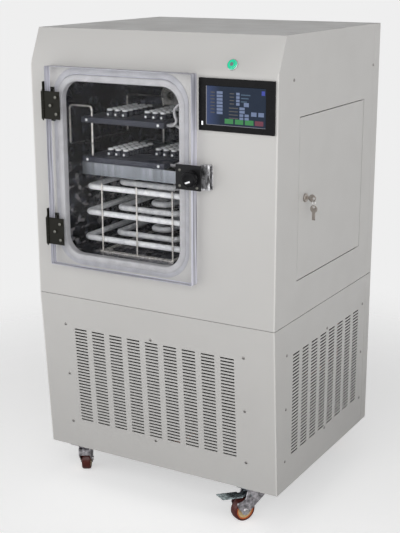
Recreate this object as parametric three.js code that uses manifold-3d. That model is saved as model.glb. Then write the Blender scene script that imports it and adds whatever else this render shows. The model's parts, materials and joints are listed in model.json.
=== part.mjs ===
// Laboratory freeze dryer on casters, in millimetres with +Z up.
// The cabinet's front plane is y = 0 while it is being built, x = 0 is its middle and z = 0 the floor.
// The finished group is moved so that the origin is the middle of its footprint on the floor.

import * as THREE from "three";
import { mergeVertices } from "three/addons/utils/BufferGeometryUtils.js";
import Module from "manifold-3d";

const wasm = await Module();
wasm.setup();

// ---------------------------------------------------------------- clearances
const seatGap = 0.3; // between pieces that sit on each other
const runGap = 0.5; // around a shaft, a pin or a sliding cap
const jointGap = 1.4; // visible gap between neighbouring panels
const overlap = 0.5; // how far welded members reach into each other
const through = 6; // how far a cutting tool passes the face it cuts

// ---------------------------------------------------------------- cabinet
const cabinetWidth = 720;
const cabinetDepth = 636;
const cabinetHeight = 1170;
const casterHeight = 95;
const sheet = 2;
const seamRise = 456; // top of the lower panels, above the cabinet's bottom edge
const slopeHeight = 91; // of the strip at the front's top that leans back
const topSetback = 40;
const bottomSetback = 31;
const rearReturn = 36; // how far the rear covers wrap round the sides
const flangeDepth = 14;
const halfWidth = cabinetWidth / 2;
const foldRise = cabinetHeight - slopeHeight;

// ---------------------------------------------------------------- vents
const slotPitchAcross = 57;
const slotPitchDown = 9.1;
const slotHeight = 4;
const slotRows = 31;
const ventDrop = 93; // from the seam to the top row of slots
const ventTopRise = seamRise - ventDrop;
const frontSlotLength = 40;
const frontSlotColumns = 9;
const frontVentCentre = -4;
const sideSlotLength = 38;
const sideSlotColumns = 8;
const sideVentSetback = 12; // from the middle of the cabinet's depth to the vents' middle
const sideVentCentre = cabinetDepth / 2 + sideVentSetback;

// ---------------------------------------------------------------- frame
const tube = 25;
const padSize = 72;
const padThickness = 4;
const baseSheet = 2; // welded under the frame, so that it closes the cabinet's floor

// ---------------------------------------------------------------- chamber door
// The door takes the width that the touch panel leaves, and the height between seam and fold.
const panelWidth = 204;
const panelMargin = 6; // on each side of the touch panel
const doorSideMargin = 65; // from the cabinet's left side to the door
const doorSeamGap = 95; // from the seam up to the door
const doorFoldGap = 1; // from the door up to the fold
const doorLeft = doorSideMargin - halfWidth;
const doorWidth = cabinetWidth - doorSideMargin - panelWidth - 2 * panelMargin;
const doorLowRise = seamRise + doorSeamGap;
const doorHeight = foldRise - doorFoldGap - doorLowRise;
const doorThickness = 27;
const doorGap = 3.5;
const doorCornerRadius = 4;
const hingeHeight = 72;
const hingeLeafReach = 52.5;
const hingePlate = 2.5;
const hingeBarrelRadius = 4.5;
const hingePinRadius = 2;
const hingeEdgeGap = 0.5;
const hingeFootReach = 20;
const hingeFootEnd = 8; // how far the foot runs past the leaf, above and below
const hingeWebRise = 24;
const hingePinReach = 4;
const hingeTopMargin = 100; // from the door's top edge to the upper hinge's middle
const hingeLowMargin = 93;
const upperHingeRise = doorLowRise + doorHeight - hingeTopMargin;
const lowerHingeRise = doorLowRise + hingeLowMargin;

// ---------------------------------------------------------------- gasket and chamber
const gasketWidth = 18;
const gasketHingeMargin = 19; // from the door's hinged edge to the gasket
const gasketLatchMargin = 32;
const gasketLowMargin = 15;
const gasketTopMargin = 20;
const gasketInnerWidth = doorWidth - gasketHingeMargin - gasketLatchMargin - 2 * gasketWidth;
const gasketInnerHeight = doorHeight - gasketLowMargin - gasketTopMargin - 2 * gasketWidth;
const gasketInnerRadius = 48;
const gasketCentreRise = doorLowRise + gasketLowMargin + gasketWidth + gasketInnerHeight / 2;
const gasketLip = 3;
const gasketLipDepth = 14;
const cutoutSideGap = 6; // from the gasket to the edge of the housing's cut-out
const cutoutEndGap = 10;
const cutoutRaise = 2; // how much higher than the gasket the cut-out's middle is
const cutoutWidth = gasketInnerWidth + 2 * (gasketWidth + cutoutSideGap);
const cutoutHeight = gasketInnerHeight + 2 * (gasketWidth + cutoutEndGap);
const cutoutRadius = 78;
const cutoutCentreRise = gasketCentreRise + cutoutRaise;
const linerWall = 3;
const insulation = 18;
const floorInsulation = 24;
const panelBodyInset = 7;
const panelBackGap = 2.7; // from the insulation to the touch panel's back part
const insulationSide = linerWall + seatGap + insulation;
const panelRoom = gasketWidth + gasketLatchMargin + panelMargin + panelBodyInset - panelBackGap;
const chamberSideReach = panelRoom - insulationSide; // past the gasket's opening, on each side
const chamberEndReach = 6; // above and below the gasket's opening
const spareDepth = 156; // of the cabinet's depth, taken up in front of and behind the chamber
const chamberCentre = doorLeft + gasketHingeMargin + gasketWidth + gasketInnerWidth / 2;
const chamberWidth = gasketInnerWidth + 2 * chamberSideReach;
const chamberHeight = gasketInnerHeight + 2 * chamberEndReach;
const chamberDepth = cabinetDepth - spareDepth;
const chamberFloorRise = gasketCentreRise - chamberHeight / 2;
const chamberTopRise = chamberFloorRise + chamberHeight;
const chamberLeft = chamberCentre - chamberWidth / 2;
const chamberRight = chamberCentre + chamberWidth / 2;

// ---------------------------------------------------------------- chamber latch
const latchWidth = 71;
const latchHeight = 62;
const latchThickness = 5;
const latchOverhang = 28;
const latchRaise = 16; // from the gasket's middle up to the latch
const latchCentreRise = gasketCentreRise + latchRaise;
const latchShaftRadius = 3;
const latchShaftEdge = 5; // from the door's edge to the shaft's centre
const knobRadius = 20;
const knobNeckRadius = 11;
const knobNeckLength = 5;
const knobLength = 18;
const camLength = 26;
const camWidth = 6;
const camThickness = 4;
const camStandoff = 8; // from the cabinet's front to the cam
const strikeEdgeGap = 16.5; // from the door's edge to the strike
const strikeWidth = 26;
const strikeHeight = 62;
const strikePlate = 2.5;
const strikeStandoff = 17;

// ---------------------------------------------------------------- shelves and cold trap
const shelfLeftGap = 53; // from the chamber's left wall to the shelves
const shelfRightGap = 121;
const shelfSpareDepth = 160; // of the chamber's depth, in front of and behind the shelves
const shelfShare = 105 / 468; // of the chamber's height, above the upper shelf and between the two
const shelfLeft = chamberLeft + shelfLeftGap;
const shelfWidth = chamberWidth - shelfLeftGap - shelfRightGap;
const shelfFront = 60;
const shelfDepth = chamberDepth - shelfSpareDepth;
const shelfThickness = 15;
const upperShelfRise = chamberTopRise - shelfShare * chamberHeight;
const lowerShelfRise = upperShelfRise - shelfShare * chamberHeight;
const vialRadius = 11;
const vialHeight = 20;
const vialPitch = 24;
const vialRows = 6;
const vialColumns = 3; // in each of a shelf's two groups
const vialRightGap = 22; // from the right group to the shelf's edge, clear of the hanger's rods
const vialLeftShare = 8 / 15; // of the width left over, to the left of the groups
const vialFront = 36; // from the shelf's front edge to the left groups
const vialUpperFront = 42; // and to the right group on the upper shelf
const vialLowerFront = 94;
const trayReach = 39; // past the shelf's right edge
const trayWidth = shelfWidth + trayReach;
const trayHeight = 33;
const trayWall = 1.5;
const rodRadius = 2.5;
const rodBend = 8;
const hangerSetback = 18; // from the shelf's front edge to the front rod
const hangerInset = 22; // from the shelf's left edge to the front rod
const hangerRearGap = 25; // from the rear rods to the shelf's rear edge
const hangerRearSetback = shelfDepth - hangerRearGap;
const hangerRearInset = 72;
const hangerRightSetback = 155;
const hangerRightInset = 10;
const hangerBarRise = 26; // from the upper shelf to the rods' top bars
const hangerFootGap = 21; // from the lower shelf to the rods' feet on the walls
const hangerRise = upperShelfRise + hangerBarRise;
const hangerFootRise = lowerShelfRise + hangerFootGap;
const coilRadius = 8;
const coilBend = 18;
const coilLeftGap = 56; // from the chamber's left wall to the coil's centre line
const coilRightGap = 68;
const coilRearGap = 50; // of the chamber's depth, behind the coil
const coilFloorGap = 24; // under the lowest level
const coilTrayGap = 14.7; // from the coil up to the drip tray
const coilEyeWidth = 50; // inside the innermost turn
const coilLeft = chamberLeft + coilLeftGap;
const coilRight = chamberRight - coilRightGap;
const coilFront = 80;
const coilRear = chamberDepth - coilRearGap;
const coilPitch = (coilRight - coilLeft - coilEyeWidth) / 4; // two turns on each side
const coilPitchDeep = 58;
const coilLevelSpread = 6; // how much further left each lower level reaches
const coilNestRise = 7;
const coilLevels = 3;
const trayLowRise = lowerShelfRise - shelfThickness - seatGap - trayHeight;
const coilTopRise = trayLowRise - coilTrayGap - coilRadius - 2 * coilNestRise;
const coilLowRise = chamberFloorRise + coilFloorGap + coilRadius;
const coilLevelPitch = (coilTopRise - coilLowRise) / (coilLevels - 1);
const coilTail = 24; // how far the coil's ends reach out of the insulation
const standRodRadius = 2.2;
const standLeftInset = 51;
const standRightInset = 35;
const standBarWidth = 12;
const standBarHeight = 3;
const standRodTop = 14; // above the top level's centre line
const hoseRadius = 4;
const hoseRise = 15.5 * hoseRadius; // from the upper shelf's top to the hose's entry

// ---------------------------------------------------------------- vacuum pipe and power inlet
const vacuumSideGap = 72; // from the chamber's left wall to the pipe
const vacuumTopGap = 94;
const vacuumX = chamberLeft + vacuumSideGap;
const vacuumRise = chamberTopRise - vacuumTopGap;
const vacuumBore = 12.5;
const vacuumWall = 2.5;
const vacuumFlangeRadius = 34;
const vacuumFlangeThickness = 3;
const vacuumPortRadius = 20;
const vacuumPortThickness = 6;
const vacuumPortReach = 22; // beyond the rear cover
const inletSideGap = 110; // from the cabinet's right side
const inletX = halfWidth - inletSideGap;
const inletRise = 120;
const inletRadius = 14;
const inletBore = 8;
const inletReach = 20;
const inletNutThickness = 6;

// ---------------------------------------------------------------- touch panel and power button
const panelLeft = doorLeft + doorWidth + panelMargin;
const panelHeight = 126.5;
const panelFoldGap = 10.5; // from the panel up to the fold
const panelLowRise = foldRise - panelFoldGap - panelHeight;
const panelFlange = 6;
const panelBodyDepth = 34;
const screenLeftMargin = 20.5;
const screenRightMargin = 23.5;
const screenWidth = panelWidth - screenLeftMargin - screenRightMargin;
const screenLowMargin = 15;
const screenTopMargin = 18.5;
const screenHeight = panelHeight - screenLowMargin - screenTopMargin;
const screenThickness = 1.2;
const buttonInset = 84.6; // from the touch panel's left edge
const buttonX = panelLeft + buttonInset;
const buttonSlopeRise = 23; // up the slope from the fold
const buttonFlangeRadius = 14;
const buttonFlangeThickness = 3;
const buttonBarrelRadius = 11;
const buttonBarrelLength = 22;
const buttonCapRadius = 8;
const buttonCapLength = 14;
const buttonCapProud = 3.5; // above the flange, more than the cap's travel

// ---------------------------------------------------------------- side access door and lock
const accessFront = 124;
const accessRearGap = 104; // from the door to the cabinet's back
const accessRaise = 8; // above the chamber door's lower edge, clear of the frame
const accessFoldGap = 109; // from the door up to the fold
const accessDepth = cabinetDepth - accessFront - accessRearGap;
const accessLowRise = doorLowRise + accessRaise;
const accessHeight = foldRise - accessFoldGap - accessLowRise;
const accessGap = 2;
const accessReturn = 12;
const accessPivotInset = 4.6; // from the cabinet's side to the pivot
const accessPivotEdge = 4; // from the door's rear edge to the pivot
const accessPinRadius = 2;
const accessPinLength = 5;
const lugSize = 16;
const lugThickness = 3;
const lockEdge = 36; // from the door's front edge to the lock
const lockRaise = 1.5; // above the door's middle
const lockRise = accessLowRise + accessHeight / 2 + lockRaise;
const lockFlangeRadius = 11;
const lockFlangeThickness = 5;
const lockBarrelRadius = 9;
const lockBarrelLength = 16;
const lockCatchWidth = 30;
const lockCatchThickness = 3;
const lockPlugRadius = 6;
const lockCamLength = 46;
const lockCamWidth = 12;
const lockCamThickness = 3;
const keyThickness = 2;
const keyWidth = 8;
const keyDepth = 16; // how deep the key sits in the plug
const keyNeck = 5;
const keyBowRadius = 10;
const keyHoleRadius = 3;
const keyRingRadius = 9;
const keyRingWire = 0.8;
const spareKeyBlade = 24;

// ---------------------------------------------------------------- machinery in the lower cabinet
const compressorSideGap = 190; // from the cabinet's right side to the compressor's middle
const compressorRearGap = 236;
const compressorX = halfWidth - compressorSideGap;
const compressorY = cabinetDepth - compressorRearGap;
const compressorRadius = 92;
const compressorHeight = 250;
const compressorBasePlate = 5;
const compressorRailSpread = 65;
const condenserLeftGap = 70; // from the cabinet's left side
const condenserRightGap = 340;
const condenserLeft = condenserLeftGap - halfWidth;
const condenserWidth = cabinetWidth - condenserLeftGap - condenserRightGap;
const condenserFront = 50;
const condenserCore = 50;
const condenserHeight = 300;
const shroudDepth = 50;
const shroudWall = 2;
const fanRim = 32; // from the fan's tips to the nearest edge of the condenser
const fanRadius = Math.min(condenserWidth, condenserHeight) / 2 - fanRim;
const fanTipGap = 6;
const fanHubRadius = 30;
const fanHubLength = 24;
const fanBlades = 5;
const fanBladeWidth = 60;
const fanBladeThickness = 3;
const fanBladeTwist = 0.5;
const fanShaftRadius = 5;
const motorRadius = 42;
const motorLength = 60;
const motorBracketHeight = 36;
const motorBracketThickness = 3;
const pipeRadius = 5;
const pipeBend = 16;
const liquidLaneGap = 22.4; // from the coil's ends back to the liquid line
const suctionLaneSpacing = 19; // from the liquid line's lane back to the suction line's
const pipeLaneGap = 26;
const suctionLaneGap = 24; // from the compressor to the suction line
const dischargeTopGap = 30; // from the condenser's top to the discharge pipe
const dischargeDrop = 60;
const liquidSideReach = 90; // from the coil's end to the liquid line's drop
const liquidFrontGap = 60; // from the fan's shroud to the liquid line
const liquidLowRise = 40; // above the floor rails
const drierRise = 150;
const drierRadius = 20;
const drierLength = 110;
const controlBoxDepth = 60;
const controlBoxLength = 250;
const controlBoxHeight = 300;
const controlBoxFront = 200;
const controlBoxSeamGap = 154; // from the seam up to the box
const controlBoxLowRise = seamRise + controlBoxSeamGap;

// ---------------------------------------------------------------- casters
const casterInsetX = 90; // from the cabinet's side to the swivel axis
const frontCasterY = 64;
const rearCasterGap = 64; // from the rear swivel axes to the cabinet's back
const rearCasterY = cabinetDepth - rearCasterGap;
const casterPlate = 60;
const casterPlateThickness = 3;
const casterRaceRadius = 18;
const casterRaceHeight = 5;
const kingpinRadius = 4;
const kingpinHeadRadius = 7;
const kingpinHeadHeight = 3;
const forkTopRadius = 20;
const forkThickness = 3;
const forkBackReach = 32;
const forkBackHeight = 20;
const wheelHeadroom = 32; // over the wheel, for the fork's top and the mounting plate
const wheelRadius = (casterHeight - wheelHeadroom) / 2;
const wheelWidth = 25;
const wheelTrail = 28;
const wheelTread = 7.5;
const wheelHubRadius = wheelRadius - wheelTread;
const wheelHubRecess = 2;
const wheelSideGap = 1.5;
const wheelSides = 20;
const axleRadius = 4;
const axleHeadRadius = 6.5;
const axleHeadLength = 3;
const frontRightCasterTurn = 150;
const frontLeftCasterTurn = 30;
const pedalStem = 20;
const pedalWidth = 34;
const pedalThickness = 3;
const pedalPivotTrail = 12;
const pedalPivotDrop = 23; // below the cabinet
const pedalPivotRise = casterHeight - pedalPivotDrop;
const pedalPinRadius = 2.5;
const pedalFlare = 26; // from the pivot to where the pedal widens, clear of the fork
const pedalLength = 88;
const pedalTipRise = 12;

// ---------------------------------------------------------------- places worked out from the sizes
const innerHalf = halfWidth - sheet;
const baseZ = casterHeight;
const seamZ = baseZ + seamRise;
const foldZ = baseZ + foldRise;
const topZ = baseZ + cabinetHeight;
const sideRear = cabinetDepth - rearReturn;
const slopeAngle = Math.atan2(topSetback, topZ - foldZ);
const leanAngle = Math.atan2(bottomSetback, seamRise);
const frameHalf = innerHalf - seatGap;
const frameFront = bottomSetback + sheet / Math.cos(leanAngle) + seatGap;
const frameRear = cabinetDepth - sheet - seatGap;

const linerFront = sheet + seatGap;
const chamberFront = linerFront + linerWall;
const chamberRear = chamberFront + chamberDepth;
const chamberLow = baseZ + chamberFloorRise;
const chamberTop = chamberLow + chamberHeight;
const insulationLow = chamberLow - linerWall - seatGap - floorInsulation;
const insulationRear = chamberRear + insulationSide;
const liquidLane = insulationRear + coilTail + liquidLaneGap;
const pipeBackLane = liquidLane + suctionLaneSpacing;
const rackTopZ = insulationLow - seatGap;

const doorBack = -doorGap;
const doorFront = doorBack - doorThickness;
const doorRight = doorLeft + doorWidth;
const doorLow = baseZ + doorLowRise;
const hingeX = doorLeft - hingeEdgeGap - hingeBarrelRadius;
const hingeY = doorFront - seatGap - hingePlate;
const latchZ = baseZ + latchCentreRise;
const latchShaftX = doorRight + latchShaftEdge;
const latchBack = doorFront - seatGap;
const latchFront = latchBack - latchThickness;

const accessRear = accessFront + accessDepth;
const accessLow = baseZ + accessLowRise;
const accessTop = accessLow + accessHeight;
const accessPivotX = halfWidth - accessPivotInset;
const accessPivotY = accessRear - accessPivotEdge;
const lockY = accessFront + lockEdge;
const lockZ = baseZ + lockRise;
const lockFaceX = halfWidth + seatGap + lockFlangeThickness;
const lockBackX = halfWidth - sheet - lockBarrelLength;
const keyBowX = lockFaceX + seatGap + keyNeck + keyBowRadius;
const keyHoleX = keyBowX + keyBowRadius - keyHoleRadius * 1.8;
const ringRest = keyHoleRadius - keyRingWire - seatGap; // how far a ring or key hangs down in its hole
const ringTopZ = lockZ - ringRest;

const buttonOrigin = new THREE.Vector3(
  buttonX,
  buttonSlopeRise * Math.sin(slopeAngle),
  foldZ + buttonSlopeRise * Math.cos(slopeAngle),
);
const upperShelfZ = baseZ + upperShelfRise;
const lowerShelfZ = baseZ + lowerShelfRise;
const shelfRight = shelfLeft + shelfWidth;

// ---------------------------------------------------------------- finishes
function finish(color, roughness, metalness, opacity = 1) {
  return new THREE.MeshStandardMaterial({ color, roughness, metalness, opacity, transparent: opacity < 1 });
}
const paint = finish(0xc9c8c3, 0.5, 0.1);
const rearPaint = finish(0xc3c2bd, 0.5, 0.1);
const framePaint = finish(0x4a4c4f, 0.6, 0.3);
const stainless = finish(0xaeb0b4, 0.18, 0.9);
const brightSteel = finish(0xd8dadd, 0.12, 1);
const darkPlate = finish(0x3d3f48, 0.35, 0.7);
const trayMetal = finish(0xa9aeb2, 0.4, 0.8);
const frost = finish(0xdcdfe4, 0.75, 0.05);
const silicone = finish(0xe4e4e6, 0.6, 0);
const foam = finish(0xd9cfa5, 0.95, 0);
const acrylic = finish(0xdfe8ee, 0.05, 0, 0.3);
const blackSteel = finish(0x23231f, 0.45, 0.5);
const blackPlastic = finish(0x141414, 0.4, 0);
const displayGlass = finish(0x27344e, 0.1, 0);
const greenRing = finish(0x18c47c, 0.3, 0.1);
const greyCap = finish(0x8d9194, 0.35, 0.6);
const nickel = finish(0xa8a096, 0.3, 0.9);
const copper = finish(0xb8693d, 0.35, 0.9);
const blackPaint = finish(0x1b1c1e, 0.5, 0.3);
const finMetal = finish(0xb9bcbf, 0.4, 0.8);
const greyPlastic = finish(0x6b6e72, 0.6, 0);
const zinc = finish(0x9da2a6, 0.35, 0.8);
const blueZinc = finish(0x8fa0a4, 0.3, 0.8);
const redTread = finish(0x5a1a12, 0.45, 0);

// ---------------------------------------------------------------- geometry helpers
function toSolid(geometry) {
  const bare = geometry.clone();
  bare.deleteAttribute("normal");
  bare.deleteAttribute("uv");
  const merged = mergeVertices(bare, 1e-4);
  return new wasm.Manifold(
    new wasm.Mesh({
      numProp: 3,
      vertProperties: new Float32Array(merged.attributes.position.array),
      triVerts: new Uint32Array(merged.index.array),
    }),
  );
}

function toGeometry(solid) {
  const mesh = solid.getMesh();
  const geometry = new THREE.BufferGeometry();
  geometry.setAttribute("position", new THREE.BufferAttribute(new Float32Array(mesh.vertProperties), 3));
  geometry.setIndex(new THREE.BufferAttribute(new Uint32Array(mesh.triVerts), 1));
  geometry.computeVertexNormals();
  return geometry;
}

function join(...geometries) {
  return toGeometry(geometries.map(toSolid).reduce((whole, next) => whole.add(next)));
}

function cut(body, ...tools) {
  return toGeometry(tools.map(toSolid).reduce((whole, tool) => whole.subtract(tool), toSolid(body)));
}

// A block between two values on each axis.
function block([x0, x1], [y0, y1], [z0, z1]) {
  const geometry = new THREE.BoxGeometry(x1 - x0, y1 - y0, z1 - z0);
  geometry.translate((x0 + x1) / 2, (y0 + y1) / 2, (z0 + z1) / 2);
  return geometry;
}

// A round bar along one axis between two values, with its middle at [x, y, z] on the other two.
function bar(axis, radius, [from, to], [x, y, z], sides = 20) {
  const geometry = new THREE.CylinderGeometry(radius, radius, to - from, sides);
  const middle = (from + to) / 2;
  if (axis === "x") {
    geometry.rotateZ(-Math.PI / 2);
    geometry.translate(middle, y, z);
  } else if (axis === "y") {
    geometry.translate(x, middle, z);
  } else {
    geometry.rotateX(Math.PI / 2);
    geometry.translate(x, y, middle);
  }
  return geometry;
}

function extrude(shape, depth, curveSegments = 3) {
  return new THREE.ExtrudeGeometry(shape, { depth, bevelEnabled: false, curveSegments });
}

// An outline in x and z, between two y values.
function frontPlate(shape, [y0, y1], curveSegments) {
  const geometry = extrude(shape, y1 - y0, curveSegments);
  geometry.rotateX(Math.PI / 2);
  geometry.translate(0, y1, 0);
  return geometry;
}

// An outline in y and z, between two x values.
function sidePlate(shape, [x0, x1], curveSegments) {
  const geometry = extrude(shape, x1 - x0, curveSegments);
  const turn = new THREE.Matrix4().makeBasis(
    new THREE.Vector3(0, 1, 0),
    new THREE.Vector3(0, 0, 1),
    new THREE.Vector3(1, 0, 0),
  );
  geometry.applyMatrix4(turn);
  geometry.translate(x0, 0, 0);
  return geometry;
}

function outline(points) {
  return new THREE.Shape(points.map(([u, v]) => new THREE.Vector2(u, v)));
}

function roundedRectangle(u, v, width, height, radius) {
  const right = u + width / 2 - radius;
  const left = u - width / 2 + radius;
  const top = v + height / 2 - radius;
  const low = v - height / 2 + radius;
  const shape = new THREE.Shape();
  shape.absarc(right, top, radius, 0, Math.PI / 2);
  shape.absarc(left, top, radius, Math.PI / 2, Math.PI);
  shape.absarc(left, low, radius, Math.PI, Math.PI * 1.5);
  shape.absarc(right, low, radius, Math.PI * 1.5, Math.PI * 2);
  return shape;
}

function ringOutline(u, v, width, height, radius, wall) {
  const shape = roundedRectangle(u, v, width + 2 * wall, height + 2 * wall, radius + wall);
  shape.holes.push(roundedRectangle(u, v, width, height, radius));
  return shape;
}

// Straight runs joined by round bends, with stations only where the direction changes.
class BentPath extends THREE.Curve {
  constructor(corners, bendRadius, bendSteps) {
    super();
    this.points = [];
    this.tangents = [];
    const vectors = corners.map(([x, y, z]) => new THREE.Vector3(x, y, z));
    const directions = vectors.slice(1).map((point, i) => point.clone().sub(vectors[i]).normalize());
    this.addStation(vectors[0], directions[0]);
    for (let i = 1; i < vectors.length - 1; i += 1) {
      this.addBend(vectors[i], directions[i - 1], directions[i], bendRadius, bendSteps);
    }
    this.addStation(vectors.at(-1), directions.at(-1));
  }

  addStation(point, tangent) {
    this.points.push(point.clone());
    this.tangents.push(tangent.clone());
  }

  addBend(corner, before, after, radius, steps) {
    const angle = before.angleTo(after);
    const setback = radius * Math.tan(angle / 2);
    const inward = after.clone().addScaledVector(before, -Math.cos(angle)).normalize();
    const start = corner.clone().addScaledVector(before, -setback);
    const centre = start.clone().addScaledVector(inward, radius);
    for (let step = 0; step <= steps; step += 1) {
      const turned = (angle * step) / steps;
      const point = centre.clone();
      point.addScaledVector(inward, -radius * Math.cos(turned));
      point.addScaledVector(before, radius * Math.sin(turned));
      const tangent = before.clone().multiplyScalar(Math.cos(turned));
      tangent.addScaledVector(inward, Math.sin(turned));
      this.addStation(point, tangent);
    }
  }

  station(u) {
    return Math.round(u * (this.points.length - 1));
  }

  getPointAt(u, target = new THREE.Vector3()) {
    return target.copy(this.points[this.station(u)]);
  }

  getTangentAt(u, target = new THREE.Vector3()) {
    return target.copy(this.tangents[this.station(u)]);
  }
}

function roundSection(radius, sides) {
  const points = [];
  for (let i = 0; i < sides; i += 1) {
    const angle = (2 * Math.PI * i) / sides;
    points.push([radius * Math.cos(angle), radius * Math.sin(angle)]);
  }
  return outline(points);
}

// A bent tube or rod through the given corners.
function rod(corners, radius, bendRadius, { sides = 6, bendSteps = 2 } = {}) {
  const extrudePath = new BentPath(corners, bendRadius, bendSteps);
  return new THREE.ExtrudeGeometry(roundSection(radius, sides), {
    steps: extrudePath.points.length - 1,
    extrudePath,
    bevelEnabled: false,
  });
}

// A turned piece along +Z from [radius, height] pairs.
function turned(profile, sides = 20) {
  const geometry = new THREE.LatheGeometry(
    profile.map(([radius, height]) => new THREE.Vector2(radius, height)),
    sides,
  );
  geometry.rotateX(Math.PI / 2);
  return geometry;
}

const freezeDryer = new THREE.Group();
const cabinet = new THREE.Group();
freezeDryer.add(cabinet);

function addPiece(parent, name, geometry, material) {
  const mesh = new THREE.Mesh(geometry, material);
  mesh.name = name;
  parent.add(mesh);
  return mesh;
}

// A group that turns or slides, with its own zero at the pivot.
function movingGroup(parent, name, [x, y, z], turn = 0) {
  const group = new THREE.Group();
  group.name = name;
  group.position.set(x, y, z);
  group.rotation.z = turn;
  parent.add(group);
  return group;
}

// ---------------------------------------------------------------- sheet-metal cabinet
function housingProfile(inset, low, rear) {
  return outline([
    [inset, low],
    [inset, foldZ - inset * Math.tan(slopeAngle / 2)],
    [topSetback + inset * Math.tan(Math.PI / 4 - slopeAngle / 2), topZ - inset],
    [rear, topZ - inset],
    [rear, low],
  ]);
}

// Turns a piece made along +Z so that it points out of the sloped front at the power button.
function onSlope(geometry) {
  geometry.rotateX(Math.PI / 2 - slopeAngle);
  geometry.translate(buttonOrigin.x, buttonOrigin.y, buttonOrigin.z);
  return geometry;
}

function accessLug(low) {
  const body = block(
    [innerHalf - accessReturn, innerHalf + overlap],
    [accessPivotY - lugSize / 2, accessPivotY + lugSize / 2],
    [low, low + lugThickness],
  );
  const hole = bar(
    "z",
    accessPinRadius + runGap,
    [low - through, low + lugThickness + through],
    [accessPivotX, accessPivotY, 0],
    12,
  );
  return cut(body, hole);
}

function upperHousing() {
  const low = seamZ + jointGap;
  const rear = sideRear - jointGap;
  const shell = cut(
    sidePlate(housingProfile(0, low, rear), [-halfWidth, halfWidth]),
    sidePlate(housingProfile(sheet, low - through, rear + through), [-innerHalf, innerHalf]),
    frontPlate(
      roundedRectangle(chamberCentre, baseZ + cutoutCentreRise, cutoutWidth, cutoutHeight, cutoutRadius),
      [-through, through],
    ),
    block(
      [panelLeft + panelBodyInset - seatGap, panelLeft + panelWidth - panelBodyInset + seatGap],
      [-through, through],
      [
        baseZ + panelLowRise + panelBodyInset - seatGap,
        baseZ + panelLowRise + panelHeight - panelBodyInset + seatGap,
      ],
    ),
    onSlope(bar("z", buttonBarrelRadius + seatGap, [-through, through], [0, 0, 0], 16)),
    block(
      [innerHalf - through, halfWidth + through],
      [accessFront - accessGap, accessRear + accessGap],
      [accessLow - accessGap, accessTop + accessGap],
    ),
  );
  return join(
    shell,
    block([-innerHalf - overlap, innerHalf + overlap], [sheet - overlap, flangeDepth], [low, low + sheet]),
    accessLug(accessTop + runGap),
    accessLug(accessLow - runGap - lugThickness),
    lockCatch(),
  );
}

// The lip behind the door's front jamb that the lock's cam turns in behind.
function lockCatch() {
  const rear = accessFront - accessGap - lockCatchThickness;
  return block(
    [lockBackX, innerHalf + overlap],
    [rear - lockCatchThickness, rear],
    [lockZ - lockCatchWidth / 2, lockZ + lockCatchWidth / 2],
  );
}

// The lines where slots begin and end, between the two edges of a sheet.
function slotLines(first, last, centre, count, pitch, length) {
  const lines = [first];
  for (let i = 0; i < count; i += 1) {
    const middle = centre + (i - (count - 1) / 2) * pitch;
    lines.push(middle - length / 2, middle + length / 2);
  }
  lines.push(last);
  return lines;
}

// A sheet laid out as a grid in which every second cell of every second row is open.
function slottedSheet(across, up, place) {
  const columns = across.length;
  const isSolid = (i, j) => {
    const inside = i >= 0 && j >= 0 && i < columns - 1 && j < up.length - 1;
    return inside && !(i % 2 === 1 && j % 2 === 1);
  };
  const corner = (i, j, face) => 2 * (j * columns + i) + face;
  const positions = up.flatMap((v, j) =>
    across.flatMap((u, i) => [...place(u, v, 0, i), ...place(u, v, 1, i)]),
  );
  const index = [];
  const quad = (a, b, c, d) => index.push(a, b, c, a, c, d);
  for (let j = 0; j < up.length - 1; j += 1) {
    for (let i = 0; i < columns - 1; i += 1) {
      if (!isSolid(i, j)) {
        continue;
      }
      quad(corner(i, j, 1), corner(i + 1, j, 1), corner(i + 1, j + 1, 1), corner(i, j + 1, 1));
      quad(corner(i, j, 0), corner(i, j + 1, 0), corner(i + 1, j + 1, 0), corner(i + 1, j, 0));
      if (!isSolid(i, j - 1)) {
        quad(corner(i, j, 0), corner(i + 1, j, 0), corner(i + 1, j, 1), corner(i, j, 1));
      }
      if (!isSolid(i, j + 1)) {
        quad(corner(i + 1, j + 1, 0), corner(i, j + 1, 0), corner(i, j + 1, 1), corner(i + 1, j + 1, 1));
      }
      if (!isSolid(i - 1, j)) {
        quad(corner(i, j + 1, 0), corner(i, j, 0), corner(i, j, 1), corner(i, j + 1, 1));
      }
      if (!isSolid(i + 1, j)) {
        quad(corner(i + 1, j, 0), corner(i + 1, j + 1, 0), corner(i + 1, j + 1, 1), corner(i + 1, j, 1));
      }
    }
  }
  const geometry = new THREE.BufferGeometry();
  geometry.setAttribute("position", new THREE.Float32BufferAttribute(positions, 3));
  geometry.setIndex(index);
  geometry.computeVertexNormals();
  return geometry;
}

const ventCentreRise = ventTopRise - (slotPitchDown * (slotRows - 1)) / 2;

function lowerFrontPanel() {
  const length = seamRise / Math.cos(leanAngle);
  const across = slotLines(
    -halfWidth,
    halfWidth,
    frontVentCentre,
    frontSlotColumns,
    slotPitchAcross,
    frontSlotLength,
  );
  const middle = ventCentreRise / Math.cos(leanAngle);
  const up = slotLines(0, length, middle, slotRows, slotPitchDown, slotHeight);
  const panel = join(
    slottedSheet(across, up, (u, v, face) => [u, face === 1 ? 0 : sheet, v]),
    block(
      [-innerHalf + seatGap, innerHalf - seatGap],
      [sheet - overlap, flangeDepth],
      [length - 2 * sheet, length - sheet],
    ),
  );
  panel.translate(0, 0, -length);
  panel.rotateX(leanAngle);
  panel.translate(0, 0, seamZ);
  return panel;
}

const sideClear = sheet / Math.cos(leanAngle) + seatGap;

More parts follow.
